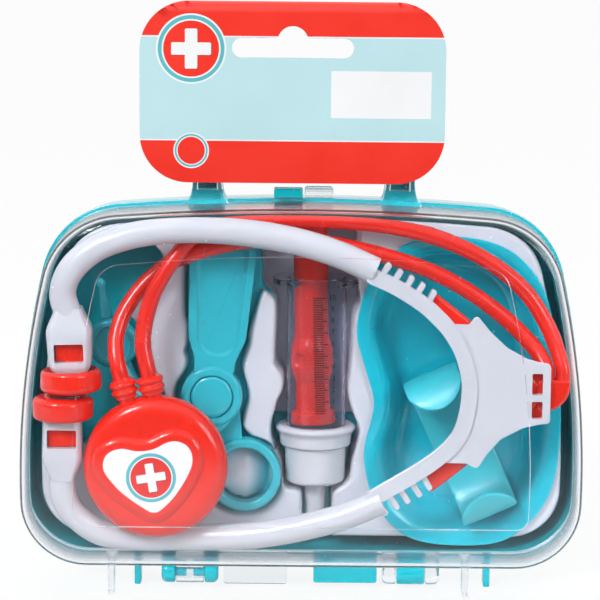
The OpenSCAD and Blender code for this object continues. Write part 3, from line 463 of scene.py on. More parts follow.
def half_shell():
    """The whole half shell, drawn as the back one."""
    a = np.radians(np.linspace(90, 0, 13))
    outside = np.stack([EDGE_Y + EDGE_R * np.sin(a), 1.5 + EDGE_R * (1 - np.cos(a))], 1)
    rim = softened([outside[-1], [3, 1.07], [3, 0], [0.05, 0], [0.05, 2.4], [1.2, 2.45]], 0.22, 3)[1:-1]
    a = np.radians(np.linspace(0, 90, 9))
    inside = np.stack([EDGE_Y + INSIDE_R * np.sin(a), 2.9 + INSIDE_R * (1 - np.cos(a))], 1)
    wall = skin([at_depth(rim_outline(q[1]), q[0]) for q in np.vstack([outside, rim, inside])])
    # handle: a hollow channel up one leg, across and down the other
    foot_z, top_z, w, y0, y1 = 142.2 - 34**2 / 1640 - 0.7, 179.9, 5.3, 0.55, 6.55
    leg = np.vstack([[[34, foot_z, 1.5], [34, foot_z + 1, 1.36], [34, foot_z + 2.2, 1.22],
                      [34, foot_z + 3.6, 1.1], [34, foot_z + 5.4, 1.03], [34, foot_z + 8, 1]],
                     np.hstack([arc(26, top_z - 8, 8, 0, 90, 12), np.ones((13, 1))])])
    path = np.vstack([leg, leg[::-1] * [-1, 1, 1]])
    outer = softened([[w, y0], [w, y1], [-w, y1], [-w, y0]], 1.9, 6, True)
    inner = softened([[w - 1.7, y0 - 1.5], [w - 1.7, y1 - 1.8], [1.7 - w, y1 - 1.8], [1.7 - w, y0 - 1.5]],
                     0.7, 3, True)
    outer[:, 1] = np.maximum(outer[:, 1], y0)
    shaft = solid([bar(path, outer)], [bar(path[4:-4], inner)])
    # latch tongue over the other rim
    left, right = TONGUE
    lip = softened([[left, TONGUE_Z], [right, TONGUE_Z], [right, TONGUE_Z + 2.8], [-1.1, TONGUE_Z + 3.4],
                    [-9.7, TONGUE_Z + 3.4], [left, TONGUE_Z + 2.8]], 0.5, 3, True)
    tongue = [block(left, right, 0.3, 2.6, 142.2, TONGUE_Z + 3.2, 0.5),
              block(left, right, -4.4, 2.6, TONGUE_Z, TONGUE_Z + 1.8, 0.4), plate(lip, -4.4, -2.7, 0.4)]
    # hinge: two ears with stub pins, and a knuckle
    ears = []
    for x, side in ((-47.8, 1), (-32.2, -1)):
        dome = softened([[0, -4.6 + 2.1], [2.6, -2.5], [3.8, -1.6], [4, 0], [4, 2.5], [0, 2.5]], 0.9, 5)
        stub = [[0, 0], [1.8, 0], [1.8, 4.1], [1.5, 4.5], [0, 4.5]]
        ears += [turned(dome, [x, 0, PIN_Z], [side, 0, 0], 48),
                 block(x - 2.5, x + 2.5, 0.3, 4, PIN_Z, 14.1, 0.3),
                 turned(stub, [x + side * 2, 0, PIN_Z], [side, 0, 0], 32)]
    knuckle = turned(softened([[0, 0], [4, 0], [4, 10], [0, 10]], 0.4, 3), [35, 0, PIN_Z], [1, 0, 0], 48)
    bore = rod(1.88, -1, 11, [35, 0, PIN_Z], [1, 0, 0], 32)
    fins = [plate(softened([[x - 2.6, 14.6], [x - 1.15, 10.1], [x - 1.15, 0], [x + 1.15, 0], [x + 1.15, 10.1],
                            [x + 2.6, 14.6]], 0.6, 4, True), 3.4, 10.8, 0.4) for x in (68, -59.3)]
    tab = plate(softened([[4.8, 13.2], [4.8, 2], [27.8, 2], [27.8, 13.2]], 1.0, 4, True), 0.3, 2.3, 0.3)
    window = bowed(80.4, 125.2, 28.8, 295, 620, 9, 4, 0, 8, 12)
    a = np.linspace(0, 1, 4)
    sunk = skin([at_depth(inset(window, -0.35 * v**2), 24.5 + 0.5 * v) for v in a[::-1]])
    sunk[0][sunk[0][:, 1] > 24.99, 1] = 26.0    # the cut starts clear of the face
    hinge_foot = block(35, 45, 0.3, 4, PIN_Z, 14.1, 0.3)
    return solid([wall, shaft, *tongue, *ears, hinge_foot, knuckle, *fins, tab], [sunk, bore])


shell = half_shell()
teal_gloss = plastic("teal_shell_moulding", paint(0, 182, 194), roughness=0.16, clouding=0.04, spread=0.08,
                     dust=0.25, bump=0.12, Coat_Weight=0.5, Coat_Roughness=0.05)
piece("teal_case_shell", shell, teal_gloss, "case", ["back_shell"])


def clear_plastic(name, tint, shade, roughness=0.02, clarity=1.0, wall_haze=0.0):
    """Clear polished plastic with faint waves, hairline scratches and specks; lamps shine through it."""
    made, tree, shader, where = new_finish(name)
    hair = put(tree, "ShaderNodeMapping", where, (0, 0, 0), (0.0, 0.55, 0.0), (20.0, 20.0, 900.0)).outputs[0]
    hairs = noise(tree, hair, 3.0, 2.0, 0.5)
    scratch = ramp(tree, hairs, 0.70, 0.74, 0.0, 0.10)
    dots = put(tree, "ShaderNodeTexVoronoi", where, None, 120.0).outputs[0]
    dot = ramp(tree, dots, 0.03, 0.05, 0.35, 0.0)
    rough = maths(tree, "ADD", roughness, maths(tree, "MAXIMUM", scratch, dot))
    if wall_haze:                               # the walls are hazier than the face
        inwards = put(tree, "ShaderNodeSeparateXYZ", where).outputs["Y"]
        rough = maths(tree, "ADD", rough, ramp(tree, inwards, -0.021, -0.017, 0.0, wall_haze))
    tree.links.new(rough, shader.inputs["Roughness"])
    waves = noise(tree, where, 30.0, 1.0, 0.4)
    shader.inputs["Base Color"].default_value = tint
    shader.inputs["Transmission Weight"].default_value = clarity
    shader.inputs["IOR"].default_value = 1.38
    emboss(tree, shader, waves, 0.08)
    lamp_ray = tree.nodes.new("ShaderNodeLightPath").outputs["Is Shadow Ray"]
    through = put(tree, "ShaderNodeBsdfTransparent", shade)
    choose = put(tree, "ShaderNodeMixShader", lamp_ray, shader.outputs[0], through.outputs[0])
    tree.links.new(choose.outputs[0], tree.nodes["Material Output"].inputs["Surface"])
    return made


lid_clear = clear_plastic("clear_styrene", paint(243, 246, 249), (0.94, 0.95, 0.97, 1.0), wall_haze=0.2)
piece("clear_lid_shell", (shell[0] * [-1, -1, 1], shell[1]), lid_clear, "lid", ["front_shell"])

# ---- Header card -------------------------------------------------------------------
# Folded coated card over the handle: red bands at top and foot, pale blue between them,
# a round first-aid emblem and a plain small disc at the left, and a bare white panel.

CARD_X, CARD_W, CARD_T, CARD_TOP = -4.2, 107.0, 0.5, 212.4
CARD_FRONT, CARD_BACK, CARD_FOOT = -7.3, -0.1, 149.0


def disc_mask(tree, place, cx, cz, radius, edge=0.06):
    """1 within radius of a point of x and z, in millimetres, and 0 outside."""
    away = vectors(tree, "DISTANCE", place, (cx, 0, cz)).outputs["Value"]
    return ramp(tree, away, radius - edge, radius + edge, 1.0, 0.0)


def bar_mask(tree, place, cx, cz, half_x, half_z, corner=0.0, edge=0.06):
    """1 within a rectangle of x and z with rounded corners, in millimetres, and 0 outside."""
    off = vectors(tree, "SUBTRACT", place, (cx, 0, cz)).outputs[0]
    off = vectors(tree, "ABSOLUTE", off).outputs[0]
    off = vectors(tree, "SUBTRACT", off, (half_x - corner, 0, half_z - corner)).outputs[0]
    off = vectors(tree, "MAXIMUM", off, (0, 0, 0)).outputs[0]
    away = vectors(tree, "LENGTH", off).outputs["Value"]
    return ramp(tree, away, corner, corner + edge, 1.0, 0.0)


def emblem(tree, ground, place, cx, cz, radii, cross, turn, inks):
    """First-aid emblem over ground: ring, disc and cross. radii run from the outside in; cross is its length,
    width and corner radius."""
    for radius, ink in zip(radii, ("white", "ring", "white", "red")):
        ground = blended(tree, disc_mask(tree, place, cx, cz, radius), ground, inks[ink])
    if cross:
        long, wide = cross[0] / 2, cross[1] / 2
        for shift, ink in ((0.28, "shade"), (0.0, "white")):
            moved = vectors(tree, "SUBTRACT", place, (cx + shift, 0, cz - shift)).outputs[0]
            moved = put(tree, "ShaderNodeMapping", moved, (0, 0, 0), (0, turn, 0), (1, 1, 1)).outputs[0]
            arms_mask = maths(tree, "MAXIMUM", bar_mask(tree, moved, 0, 0, long, wide, cross[2]),
                              bar_mask(tree, moved, 0, 0, wide, long, cross[2]))
            ground = blended(tree, arms_mask, ground, inks[ink])
    return ground


def printed(name, draw, roughness, bump):
    """Coated printed sheet: draw paints the colours; the coat is a little uneven, with fine fibre under it.
    The place is in millimetres with y at nought, so that the print runs through the sheet."""
    made, tree, shader, where = new_finish(name)
    place = vectors(tree, "MULTIPLY", where, (1000, 0, 1000)).outputs[0]
    ink = draw(tree, place)
    fibre = noise(tree, place, 2.2, 6.0, 0.7)
    worn = noise(tree, place, 0.05, 2.0, 0.5)
    tone = ramp(tree, maths(tree, "ADD", fibre, worn), 0.6, 1.4, 0.965, 1.03)
    toned = vectors(tree, "SCALE", ink)
    tree.links.new(tone, toned.inputs["Scale"])
    tree.links.new(toned.outputs[0], shader.inputs["Base Color"])
    tree.links.new(ramp(tree, worn, 0.3, 0.7, roughness - 0.05, roughness + 0.08),
                   shader.inputs["Roughness"])
    emboss(tree, shader, fibre, bump, 0.0004)
    shader.inputs["Coat Weight"].default_value = 0.15
    shader.inputs["Coat Roughness"].default_value = 0.2
    return made


card_inks = {"white": paint(244, 245, 247), "ring": paint(92, 188, 198), "red": paint(247, 50, 34),
             "shade": paint(190, 40, 34)}
PALE_BLUE = paint(190, 227, 232)


def draw_card(tree, place):
    """Card print, from the ground up."""
    ground = blended(tree, bar_mask(tree, place, CARD_X, 182.1, 200, 18.3), card_inks["red"],
                     card_inks["white"])
    ground = blended(tree, bar_mask(tree, place, CARD_X, 182.1, 200, 17.85), ground, PALE_BLUE)
    ground = blended(tree, bar_mask(tree, place, 26.8, 180.3, 17.5, 8.2), ground, card_inks["white"])
    ground = emblem(tree, ground, place, -39.7, 195.9, (12.25, 11.65, 10.3, 9.75), (13.9, 4.3, 0.55),
                    0.0, card_inks)
    return emblem(tree, ground, place, -39.6, 160.3, (6.25, 5.8, 5.15, 4.8), None, 0.0, card_inks)


def card_outline(w, z0, z1, r):
    """Rounded rectangle about the card's middle line."""
    mid = (z0 + z1) / 2
    x, z = w / 2 - r, (z1 - z0) / 2 - r
    return np.vstack([arc(x, z, r, 0, 90, 20), arc(-x, z, r, 90, 180, 20), arc(-x, -z, r, 180, 270, 20),
                      arc(x, -z, r, 270, 360, 20)]) + [CARD_X, mid]


fold_r = (CARD_BACK - CARD_FRONT) / 2
fold_z = CARD_TOP - fold_r - CARD_T / 2
bend = arc(0, 0, 1, 180, 0, 24)
sheet_line = np.vstack([[[CARD_FRONT, CARD_FOOT - 3]], bend * fold_r + [(CARD_FRONT + CARD_BACK) / 2, fold_z],
                        [[CARD_BACK, 140.0]]])
thick = unit(np.vstack([sheet_line[1:], sheet_line[-1:]]) - np.vstack([sheet_line[:1], sheet_line[:-1]]))
thick = np.stack([-thick[:, 1], thick[:, 0]], 1) * CARD_T / 2
loop_yz = np.vstack([sheet_line + thick, (sheet_line - thick)[::-1]])
folded = skin([np.stack([np.full(len(loop_yz), x), loop_yz[:, 0], loop_yz[:, 1]], 1)
               for x in (CARD_X - 60, CARD_X + 60)])
front_cut = slab(card_outline(CARD_W, CARD_FOOT, CARD_TOP, 17), 4.0, -12.0)
back_loop = np.array([
    [CARD_X - 24, CARD_FOOT - 1.9], [CARD_X + 24, CARD_FOOT - 1.9], [CARD_X + 24, CARD_FOOT + 42],
    [CARD_X + 36, CARD_FOOT + 50], [CARD_X + 44, fold_z], [CARD_X + 44, CARD_TOP + 5],
    [CARD_X - 44, CARD_TOP + 5], [CARD_X - 44, fold_z], [CARD_X - 36, CARD_FOOT + 50],
    [CARD_X - 24, CARD_FOOT + 42],
])
mid_y = (CARD_FRONT + CARD_BACK) / 2


def through(parts, keep):
    """Parts that lie within keep: keep less what is left of it when the parts are taken off."""
    outside = solid([keep], [parts])
    return solid([keep], [outside])


back_cut = slab(softened(back_loop, 1.5, 3, True), 4.0, mid_y)
slot_z = CARD_FOOT + 47.4
slot_loop = np.vstack([arc(CARD_X + 17.9, slot_z, 3.4, -90, 90, 14),
                       arc(CARD_X, slot_z + 2.2, 5.4, 13, 167, 22),
                       arc(CARD_X - 17.9, slot_z, 3.4, 90, 270, 14)])
slot_cut = slab(slot_loop, 4.0, -12.0)
back_room = slab(np.array([[-80, 100], [80, 100], [80, 240], [-80, 240.0]]), 9.0, mid_y)
card_front = solid([through(folded, solid([front_cut], [back_room]))], [slot_cut])
card_back = solid([through(folded, back_cut)], [slot_cut])
piece("header_card_sheet", solid([card_front, card_back]), printed("printed_card", draw_card, 0.38, 0.12),
      "card", ["header_card"])

# ---- Tray --------------------------------------------------------------------------
# Vacuum-formed white sheet, glossy and a little wavy. Its lands lie behind the parting
# plane; wells with rounded lips hold the instruments, and a skirt stands on the back shell.


def smooth_loop(points, steps):
    """Closed Catmull-Rom curve through the points."""
    p = np.asarray(points, float)
    t = (np.arange(steps) / steps)[None, :, None]
    a, b, c, d = (np.roll(p, shift, 0)[:, None, :] for shift in (1, 0, -1, -2))
    s = 0.5 * (2 * b + (c - a) * t + (2 * a - 5 * b + 4 * c - d) * t**2 + (3 * b - a - 3 * c + d) * t**3)
    return s.reshape(-1, p.shape[1])


dish_loop = smooth_loop([
    [26, 68], [22.6, 50], [27, 32], [39, 19.6], [58, 16.6], [76, 19.8], [89.4, 35], [93.2, 58], [91.6, 85],
    [86.4, 110], [74, 124.6], [56, 129.6], [39, 127.8], [25.5, 117], [19.5, 97], [22.6, 82],
], 3)
scissors_well = smooth_loop([
    [-43, 130], [-41.9, 121.5], [-42.3, 112], [-42.3, 105], [-42, 99.7], [-41.3, 97.4], [-41.2, 93],
    [-41.3, 89.4], [-42.2, 87], [-41.2, 83.4], [-42.4, 79.6], [-45.2, 75], [-45.9, 70], [-44.6, 64],
    [-41.6, 58.6], [-37, 53.6], [-35.6, 48], [-35.8, 40], [-32.4, 31.8], [-26.6, 27.7], [-20.4, 26.9],
    [-14.6, 28.2], [-9.8, 31.8], [-7, 37.6], [-6.6, 44], [-8.4, 49.8], [-12.6, 54], [-18, 56],
    [-20.6, 58.6], [-20.8, 61.9], [-20.1, 65.5], [-19, 70], [-19.6, 74.7], [-20.7, 78], [-21.3, 81.7],
    [-20.2, 86.8], [-19.1, 90.1], [-18.8, 94.5], [-17.1, 100], [-15.3, 105.8], [-13.4, 109.6], [-10, 113],
    [-10, 128], [-20, 134.6], [-36, 135],
], 3)
syringe_well = smooth_loop([
    [-14.6, 118], [-14.8, 112], [-13.4, 109], [-10.9, 106.9], [-9.7, 104.4], [-9.6, 98.6], [-9.8, 92.6],
    [-10, 84.4], [-9.6, 81.8], [-7.9, 79.6], [-6.8, 77.2], [-6.7, 74.8], [-7.4, 71.8], [-8.9, 68.7],
    [-9.8, 65], [-10.8, 62], [-11.2, 59.4], [-11, 56], [-10, 52], [-8.6, 48], [-7.2, 44], [-6.9, 40],
    [-6.6, 37.6], [-4.4, 36.4], [-1, 35.8], [0.2, 33.6], [0.3, 26], [0.8, 18.8], [11.6, 18.8], [11.4, 26],
    [11.5, 34.6], [13, 36.6], [16, 38.4], [17.8, 41], [18.4, 46], [19.8, 52], [21, 57], [20.6, 60],
    [18.4, 65], [16.9, 70], [16.6, 75], [17.4, 81], [18, 90], [18.6, 101], [20.8, 106], [18.6, 118],
    [18.6, 146], [-14.6, 146],
], 3)
scope_well = smooth_loop([
    [-86, 112], [-80, 121], [-68, 127], [-56, 127], [-49, 118], [-56, 108], [-64, 103], [-56, 92],
    [-53, 80], [-48, 66], [-52, 57], [-68, 52], [-84, 54], [-90, 70], [-90, 92],
], 6)
TRAY_Y, TRAY_LIP, CELL = 1.8, 1.5, 0.65         # depth of the lands, radius of the lips, mesh size
PIVOT_X, PIVOT_Z = -32.3, 71.2                  # the scissors' pivot, and how they are turned about it
TURN = math.radians(4.2)
RING_OUT, RING_DOWN = 13.9, 28.0                # finger rings, from the pivot
HUB_FLOOR, HUB_TOP = 23.1, 61.0                 # deeper floor under the syringe's hub, and where it ends
TRAY_TINT = paint(213, 212, 220)


def signed_distance(points, loop):
    """Distance from each point to a closed polyline: the least over its sides, below nought inside, where a
    ray along +x crosses it an odd number of times."""
    least = np.full(len(points), 1e9)
    odd = np.zeros(len(points), bool)
    for a, b in zip(loop, np.roll(loop, -1, 0)):
        ab = b - a
        t = np.clip(((points - a) @ ab) / (ab @ ab), 0, 1)
        least = np.minimum(least, np.linalg.norm(points - a - t[:, None] * ab, axis=1))
        straddles = (a[1] > points[:, 1]) != (b[1] > points[:, 1])
        if abs(ab[1]) > 1e-12:
            odd ^= straddles & (points[:, 0] < a[0] + (points[:, 1] - a[1]) / ab[1] * ab[0])
    return np.where(odd, -least, least)


RING_BOSS = np.array([PIVOT_X + RING_OUT * math.cos(TURN) - RING_DOWN * math.sin(TURN),
                      PIVOT_Z - RING_OUT * math.sin(TURN) - RING_DOWN * math.cos(TURN)])
# outline, sign, depth of its floor, and whether the floor is open
wells = [(rim_outline(6.9), -1, 22.6, True), (scissors_well, 1, 7.4, False), (syringe_well, 1, 20.3, False),
         (scope_well, 1, 9.8, True), (inset(dish_loop, 1.6), 1, 9.8, True)]
gx, gz = np.meshgrid(np.arange(-98.2, 98.3, CELL), np.arange(14.6, 141.8, CELL), indexing="ij")
spots = np.stack([gx.ravel(), gz.ravel()], 1)
for _ in range(2):                              # points near an edge settle on lines one cell apart
    fields = np.stack([sign * signed_distance(spots, loop) for loop, sign, _, _ in wells], 1)
    nearest = np.abs(fields).argmin(1)
    d = fields[np.arange(len(spots)), nearest]
    near = np.abs(d) < 2.4 * CELL
    step = 0.05
    slope = np.zeros_like(spots)
    for index, (loop, sign, _, _) in enumerate(wells):
        mine = (nearest == index) & near
        at = spots[mine]
        for axis in (0, 1):
            nudge = np.eye(2)[axis] * step
            slope[mine, axis] = sign * (signed_distance(at + nudge, loop) - signed_distance(at - nudge, loop))
    size = np.linalg.norm(slope, axis=1, keepdims=True)
    slope = slope / np.maximum(size, 1e-9)
    target = np.round(d / CELL) * CELL
    spots = np.where(near[:, None], spots + (target - d)[:, None] * slope, spots)
fields = np.stack([sign * signed_distance(spots, loop) for loop, sign, _, _ in wells], 1)
rng = np.random.default_rng(7)
swells = rng.uniform(-1, 1, (14, 3))
waviness = sum(np.sin(spots @ (swell[:2] * 0.28) + swell[2] * 9) for swell in swells) / 14
depth = TRAY_Y + 0.12 + 0.35 * waviness
for index, (_, _, floor, _) in enumerate(wells):
    d = fields[:, index]
    lip = TRAY_LIP - np.sqrt(np.maximum(TRAY_LIP**2 - np.clip(TRAY_LIP - d, 0, TRAY_LIP) ** 2, 0))
    depth = np.maximum(depth, np.where(d > -0.5 * CELL, TRAY_Y + lip, floor))
depth = np.where((depth > 20) & (fields[:, 0] > 0) & (spots[:, 1] < HUB_TOP), HUB_FLOOR, depth)
ring_d = np.linalg.norm(spots - RING_BOSS, axis=1)
boss = 3.0 + 0.022 * ring_d**2 + 0.34 * np.clip(spots[:, 0] - RING_BOSS[0] - 0.6, 0, 20)
depth = np.where(ring_d < 9.6, np.minimum(depth, boss), depth)
many = gx.shape
i, j = np.meshgrid(np.arange(many[0] - 1), np.arange(many[1] - 1), indexing="ij")
quads = np.stack([i * many[1] + j, (i + 1) * many[1] + j, (i + 1) * many[1] + j + 1, i * many[1] + j + 1],
                 -1).reshape(-1, 4)
gone = np.zeros(len(quads), bool)
for index, (_, _, _, is_open) in enumerate(wells):
    if is_open:
        gone |= (fields[quads, index] < -0.5 * CELL).all(1)
quads = quads[~gone]
used, quads = np.unique(quads, return_inverse=True)
quads = quads.reshape(-1, 4)
sheet_points = np.stack([spots[used, 0], depth[used], spots[used, 1]], 1)
tray_mesh = bpy.data.meshes.new("formed_tray")
tray_mesh.from_pydata((sheet_points * 0.001).tolist(), [], quads.tolist())
tray_mesh.shade_smooth()
tray_gloss = plastic("tray_sheet_moulding", TRAY_TINT, roughness=0.14, clouding=0.02, spread=0.08, dust=0.1,
                     bump=0.35, Coat_Weight=0.5, Coat_Roughness=0.05)
# The sheet's colour is painted by depth, as painted shade in the wells: teal from a shallow floor on,
# grey where the sheet hangs free of the shell, and teal again at the bottom
tree = tray_gloss.node_tree
where_on_sheet = put(tree, "ShaderNodeSeparateXYZ", tree.nodes.new("ShaderNodeTexCoord").outputs["Object"])
drawn, across = where_on_sheet.outputs["Y"], where_on_sheet.outputs["X"]
sheet_colour_painted_shade = TRAY_TINT
# each depth band paints its shade tint over the sheet's own colour
for near_y, far_y, tint in ((0.0034, 0.0068, paint(36, 186, 202)), (0.012, 0.017, paint(206, 212, 226)),
                            (0.0212, 0.0226, paint(0, 205, 220))):
    painted_shade_share = ramp(tree, drawn, near_y, far_y, 0.0, 1.0)
    if near_y < 0.01:                           # the syringe's deep well stays grey there
        aside = maths(tree, "ABSOLUTE", maths(tree, "SUBTRACT", across, 0.006))
        beside = ramp(tree, aside, 0.014, 0.018, 0.0, 1.0)
        painted_shade_share = maths(tree, "MULTIPLY", painted_shade_share, beside)
    sheet_colour_painted_shade = blended(tree, painted_shade_share, sheet_colour_painted_shade, tint)
marked = next(node for node in tree.nodes if node.type == "GROUP")
tree.links.new(sheet_colour_painted_shade, marked.inputs["Colour"])
tray_mesh.materials.append(tray_gloss)
tray = bpy.data.objects.new("formed_tray", tray_mesh)
scene.collection.objects.link(tray)
wall = tray.modifiers.new("sheet", "SOLIDIFY")
wall.thickness, wall.offset = 0.0006, -1.0
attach(tray, "case")
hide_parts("tray")

# ---- Headset -----------------------------------------------------------------------
# White moulded frame of the stethoscope: two ear tubes with bevelled, windowed sockets at
# the left, and at the right a forked yoke with a comb of five ribs at each root.

white_satin = plastic("white_moulding", paint(206, 205, 211), roughness=0.24, clouding=0.02, spread=0.06,
                      dust=0.1, bump=0.12, Coat_Weight=0.25, Coat_Roughness=0.15, Subsurface_Weight=0.12,
                      Subsurface_Scale=0.002)
upper_tube = [
    [-82.4, -12.6, 102], [-84.4, -13.8, 111], [-80.6, -15, 119.6], [-71.6, -15, 127], [-58, -15, 131.6],
    [-44, -15, 133.2], [-30, -15, 133.2], [-17, -15, 132], [-2, -15, 129.4], [12, -15, 125.2],
    [25.4, -15.4, 119.4],
]
lower_tube = [
    [-84.8, -12.2, 48], [-84.8, -11.6, 38], [-81, -9.6, 29.6], [-72, -8, 22.6], [-60, -7, 20.6],
    [-46, -7, 20.6], [-30, -8.6, 21.2], [-15, -11, 22.8], [0, -13, 26], [15, -15.4, 30.8],
    [28.8, -15.6, 36.8],
]
YOKE_Y, SOCKET_Y = -18.4, -12.2                 # the yoke's front face and the sockets' middle


def leant(v, angle):
    """Points turned by angle about the y axis, from z towards x."""
    c, s = math.cos(angle), math.sin(angle)
    return np.stack([v[:, 0] * c + v[:, 2] * s, v[:, 1], v[:, 2] * c - v[:, 0] * s], 1)


def ear_socket(x0, z0, x1, z1, width):
    """Bevelled block along a line of x and z, with a bore for the plug's stem and a window in its front."""
    a, b = np.array([x0, SOCKET_Y, z0]), np.array([x1, SOCKET_Y, z1])
    t = unit(b - a)
    s = unit(np.cross([0, 1, 0], t))
    stations = smooth_path([[0, 0.7, 4.6], [3, 0.93, 6], [12, 1, 6.4], [16, 1, 6.2], [21, 0.72, 5.2],
                            [23.4, 0.6, 4.7]], 4)
    section = softened([[-1, -0.55], [-0.8, -1], [0.8, -1], [1, -0.55], [1, 0.55], [0.8, 1], [-0.8, 1],
                        [-1, 0.55]], 0.16, 3, True)
    inward = np.array([0, 1, 0])
    rings = [a + q[0] * t + section[:, :1] * q[1] * width / 2 * s + section[:, 1:] * q[2] * inward
             for q in stations]
    lean = math.atan2(t[0], t[2])
    verts, faces = block(-5.2, 5.2, -12, 0, 4.5, 11.1, 0.5)
    return skin(rings), [rod(3.6, -1, 13, a, t, 40), (leant(verts, lean) + a, faces)]


def rib(base, tip):
    """Rounded comb rib from the spine outwards."""
    d = np.array(tip) - base
    length, lean = np.linalg.norm(d), math.atan2(d[1], d[0])
    loop = softened([[-1.6, -1.05], [length, -1.05], [length, 1.05], [-1.6, 1.05]], 0.9, 4, True)
    c, s = math.cos(lean), math.sin(lean)
    loop = np.stack([base[0] + loop[:, 0] * c - loop[:, 1] * s, base[1] + loop[:, 0] * s + loop[:, 1] * c], 1)
    return plate(loop, YOKE_Y + 0.4, YOKE_Y + 4.6, 0.5)


upper_socket, upper_cuts = ear_socket(-81.8, 81.6, -82.5, 105, 15.8)
lower_socket, lower_cuts = ear_socket(-84.7, 66.4, -84.8, 43, 14)
inner_edge = smooth_path([
    [22.6, 38.6], [30, 43.1], [37.7, 47.8], [44.9, 52.6], [51.4, 58.4], [55.4, 65.2], [57.2, 77.7],
    [55, 88.8], [50.6, 97], [45.6, 102.5], [41.2, 106.4], [34.5, 110.8], [28, 114.2], [22, 116.6],
], 5)
yoke_loop = softened(np.vstack([
    inner_edge[20:46], [[50.8, 100.4], [58.6, 100.2], [61.2, 103.4], [66, 97.6], [72, 92], [79, 88.2],
                        [84, 86.9], [87, 86.6], [87, 66.4], [84, 66.2], [78, 64.8], [70, 60.6], [65, 54.8],
                        [62, 50], [58.6, 51.8], [51, 51.9]]])[::-1], 0.9, 3, True)[::-1]
spine_loop = np.vstack([inset(inner_edge, 0.1)[1:-1], inset(inner_edge, -3.9)[1:-1][::-1]])
windows = [block(81, 84.8, YOKE_Y - 1, YOKE_Y + 8, low, high, 0.4)
           for low, high in ((76.2, 83.8), (67.6, 73.8))]
combs = [
    ([26.5, 116.3], [30.5, 122.2]), ([30.9, 114.1], [34.5, 120.1]), ([35.1, 111.8], [38.5, 117.8]),
    ([38.9, 109.5], [42.4, 115.4]), ([43.1, 106.8], [46.3, 112.9]), ([27.4, 36.6], [30.6, 32]),
    ([31.5, 38.7], [34.6, 34.2]), ([35.3, 41], [38.4, 36.4]), ([39.5, 43.4], [42.5, 38.8]),
    ([43.2, 46.1], [46, 41.3]),
]
ribs = [rib(np.array(base), tip) for base, tip in combs]
ear_tubes = [skin(tube_rings(smooth_path(p, 8), 4.8, 40)) for p in (upper_tube, lower_tube)]
headset = solid([ear_tubes[0], upper_socket, ear_tubes[1], lower_socket,
                 plate(yoke_loop, YOKE_Y, YOKE_Y + 2.4, 0.5),
                 plate(spine_loop, YOKE_Y - 0.6, YOKE_Y + 2.6, 0.7), *ribs],
                upper_cuts + lower_cuts + windows)
piece("headset_frame", headset, white_satin, "case", ["headset"])

# ---- Ear plugs ---------------------------------------------------------------------
# Two red caps, rim to rim, each a soft-edged disc on a stem pushed into its socket.

plug_profile = softened([[0, 0.8], [7, 0.1], [9.4, 0.3], [10.6, 1.1], [11, 2.2], [10.75, 7.2], [9.9, 8.2],
                         [8.6, 8.2], [7.8, 6.6], [3.5, 6.6], [3.5, 17], [0, 17]], 0.7, 4)
for name, x, z, lean, up, mouth in (("ear_plug_upper", -81.6, 74.7, -1.6, 1, 81.6),
                                    ("ear_plug_lower", -84.67, 73.3, 0.25, -1, 66.4)):
    lean = math.radians(lean)
    tongue = block(x - 5.1 - (x + 84) * 0.06, x + 5.1 - (x + 84) * 0.06, SOCKET_Y - 3.4, SOCKET_Y - 0.06,
                   *sorted((mouth + up * 4.6, mouth + up * 11)), 0.3)
    piece(name + "_cap", together([
        turned(plug_profile, [x, SOCKET_Y, z], [up * math.sin(lean), 0, up * math.cos(lean)], 72), tongue,
    ]), red_gloss, "case", [name])

# ---- Chest piece -------------------------------------------------------------------
# Shallow red bell with a raised heart and a printed heart sticker, a cover pressed on its
# back, and two ribbed collars that hold the hoses.

CHEST = np.array([-51.7, 48.4])
heart_print = smooth_loop([
    [-51.5, 33.3], [-49.7, 34.0], [-45.8, 37.7], [-42.4, 42.4], [-39.8, 47.1], [-38.4, 51.0], [-38.5, 54.5],
    [-40.0, 57.3], [-42.4, 58.7], [-45.1, 59.1], [-47.7, 58.4], [-50.3, 57.0], [-52.6, 56.0], [-55.2, 55.5],
    [-58.3, 55.4], [-60.9, 55.9], [-63.5, 56.2], [-66.6, 55.4], [-68.8, 53.6], [-69.8, 50.7], [-69.4, 48.0],
    [-67.7, 45.3], [-64.3, 41.4], [-60.2, 38.0], [-55.6, 34.9], [-53.2, 33.5],
], 5)


def heart_loop(grow):
    """Outline of the heart print, moved outwards by grow."""
    return inset(heart_print, -grow)


bell_profile = softened([[0, 0], [25.7, 0], [25.7, 3.6], [25.0, 5.8], [23.1, 7.6], [20.3, 8.4], [0, 8.4]],
                        1.8, 6)
heart_rings = [(4.3, -19.3), (4.25, -19.8), (3.9, -20.4), (3.4, -20.9), (2.8, -21.3), (2.1, -21.6),
               (1.3, -21.8)]
nipples = [rod(2.9, 0, 5, start, [math.sin(math.radians(a)), 0, math.cos(math.radians(a))], 40)
           for start, a in (([-62, -14.4, 73], 165.6), ([-52.6, -14.4, 74.6], 167.7))]
piece("chest_bell_dome", solid([turned(bell_profile, [CHEST[0], -11.6, CHEST[1]], [0, -1, 0], 128),
                                skin([at_depth(heart_loop(grow), y) for grow, y in heart_rings]), *nipples]),
      red_gloss, "case", ["chest_bell"])
cover_profile = softened([[0, 0], [20.5, 0], [21.8, 0.8], [22.5, 2], [22.5, 5.2], [0, 5.2]], 0.6, 4)
piece("chest_cover_disc", turned(cover_profile, [CHEST[0], -6.4, CHEST[1]], [0, -1, 0], 96), red_gloss,
      "case", ["chest_cover"])
collar_profile = [[0, 0], [3.9, 0], [3.9, 1.4], [4.7, 1.8], [4.8, 2.8], [4.1, 3.4], [4.1, 4], [4.8, 4.5],
                  [4.9, 5.6], [4.2, 6.2], [3.4, 6.8]]
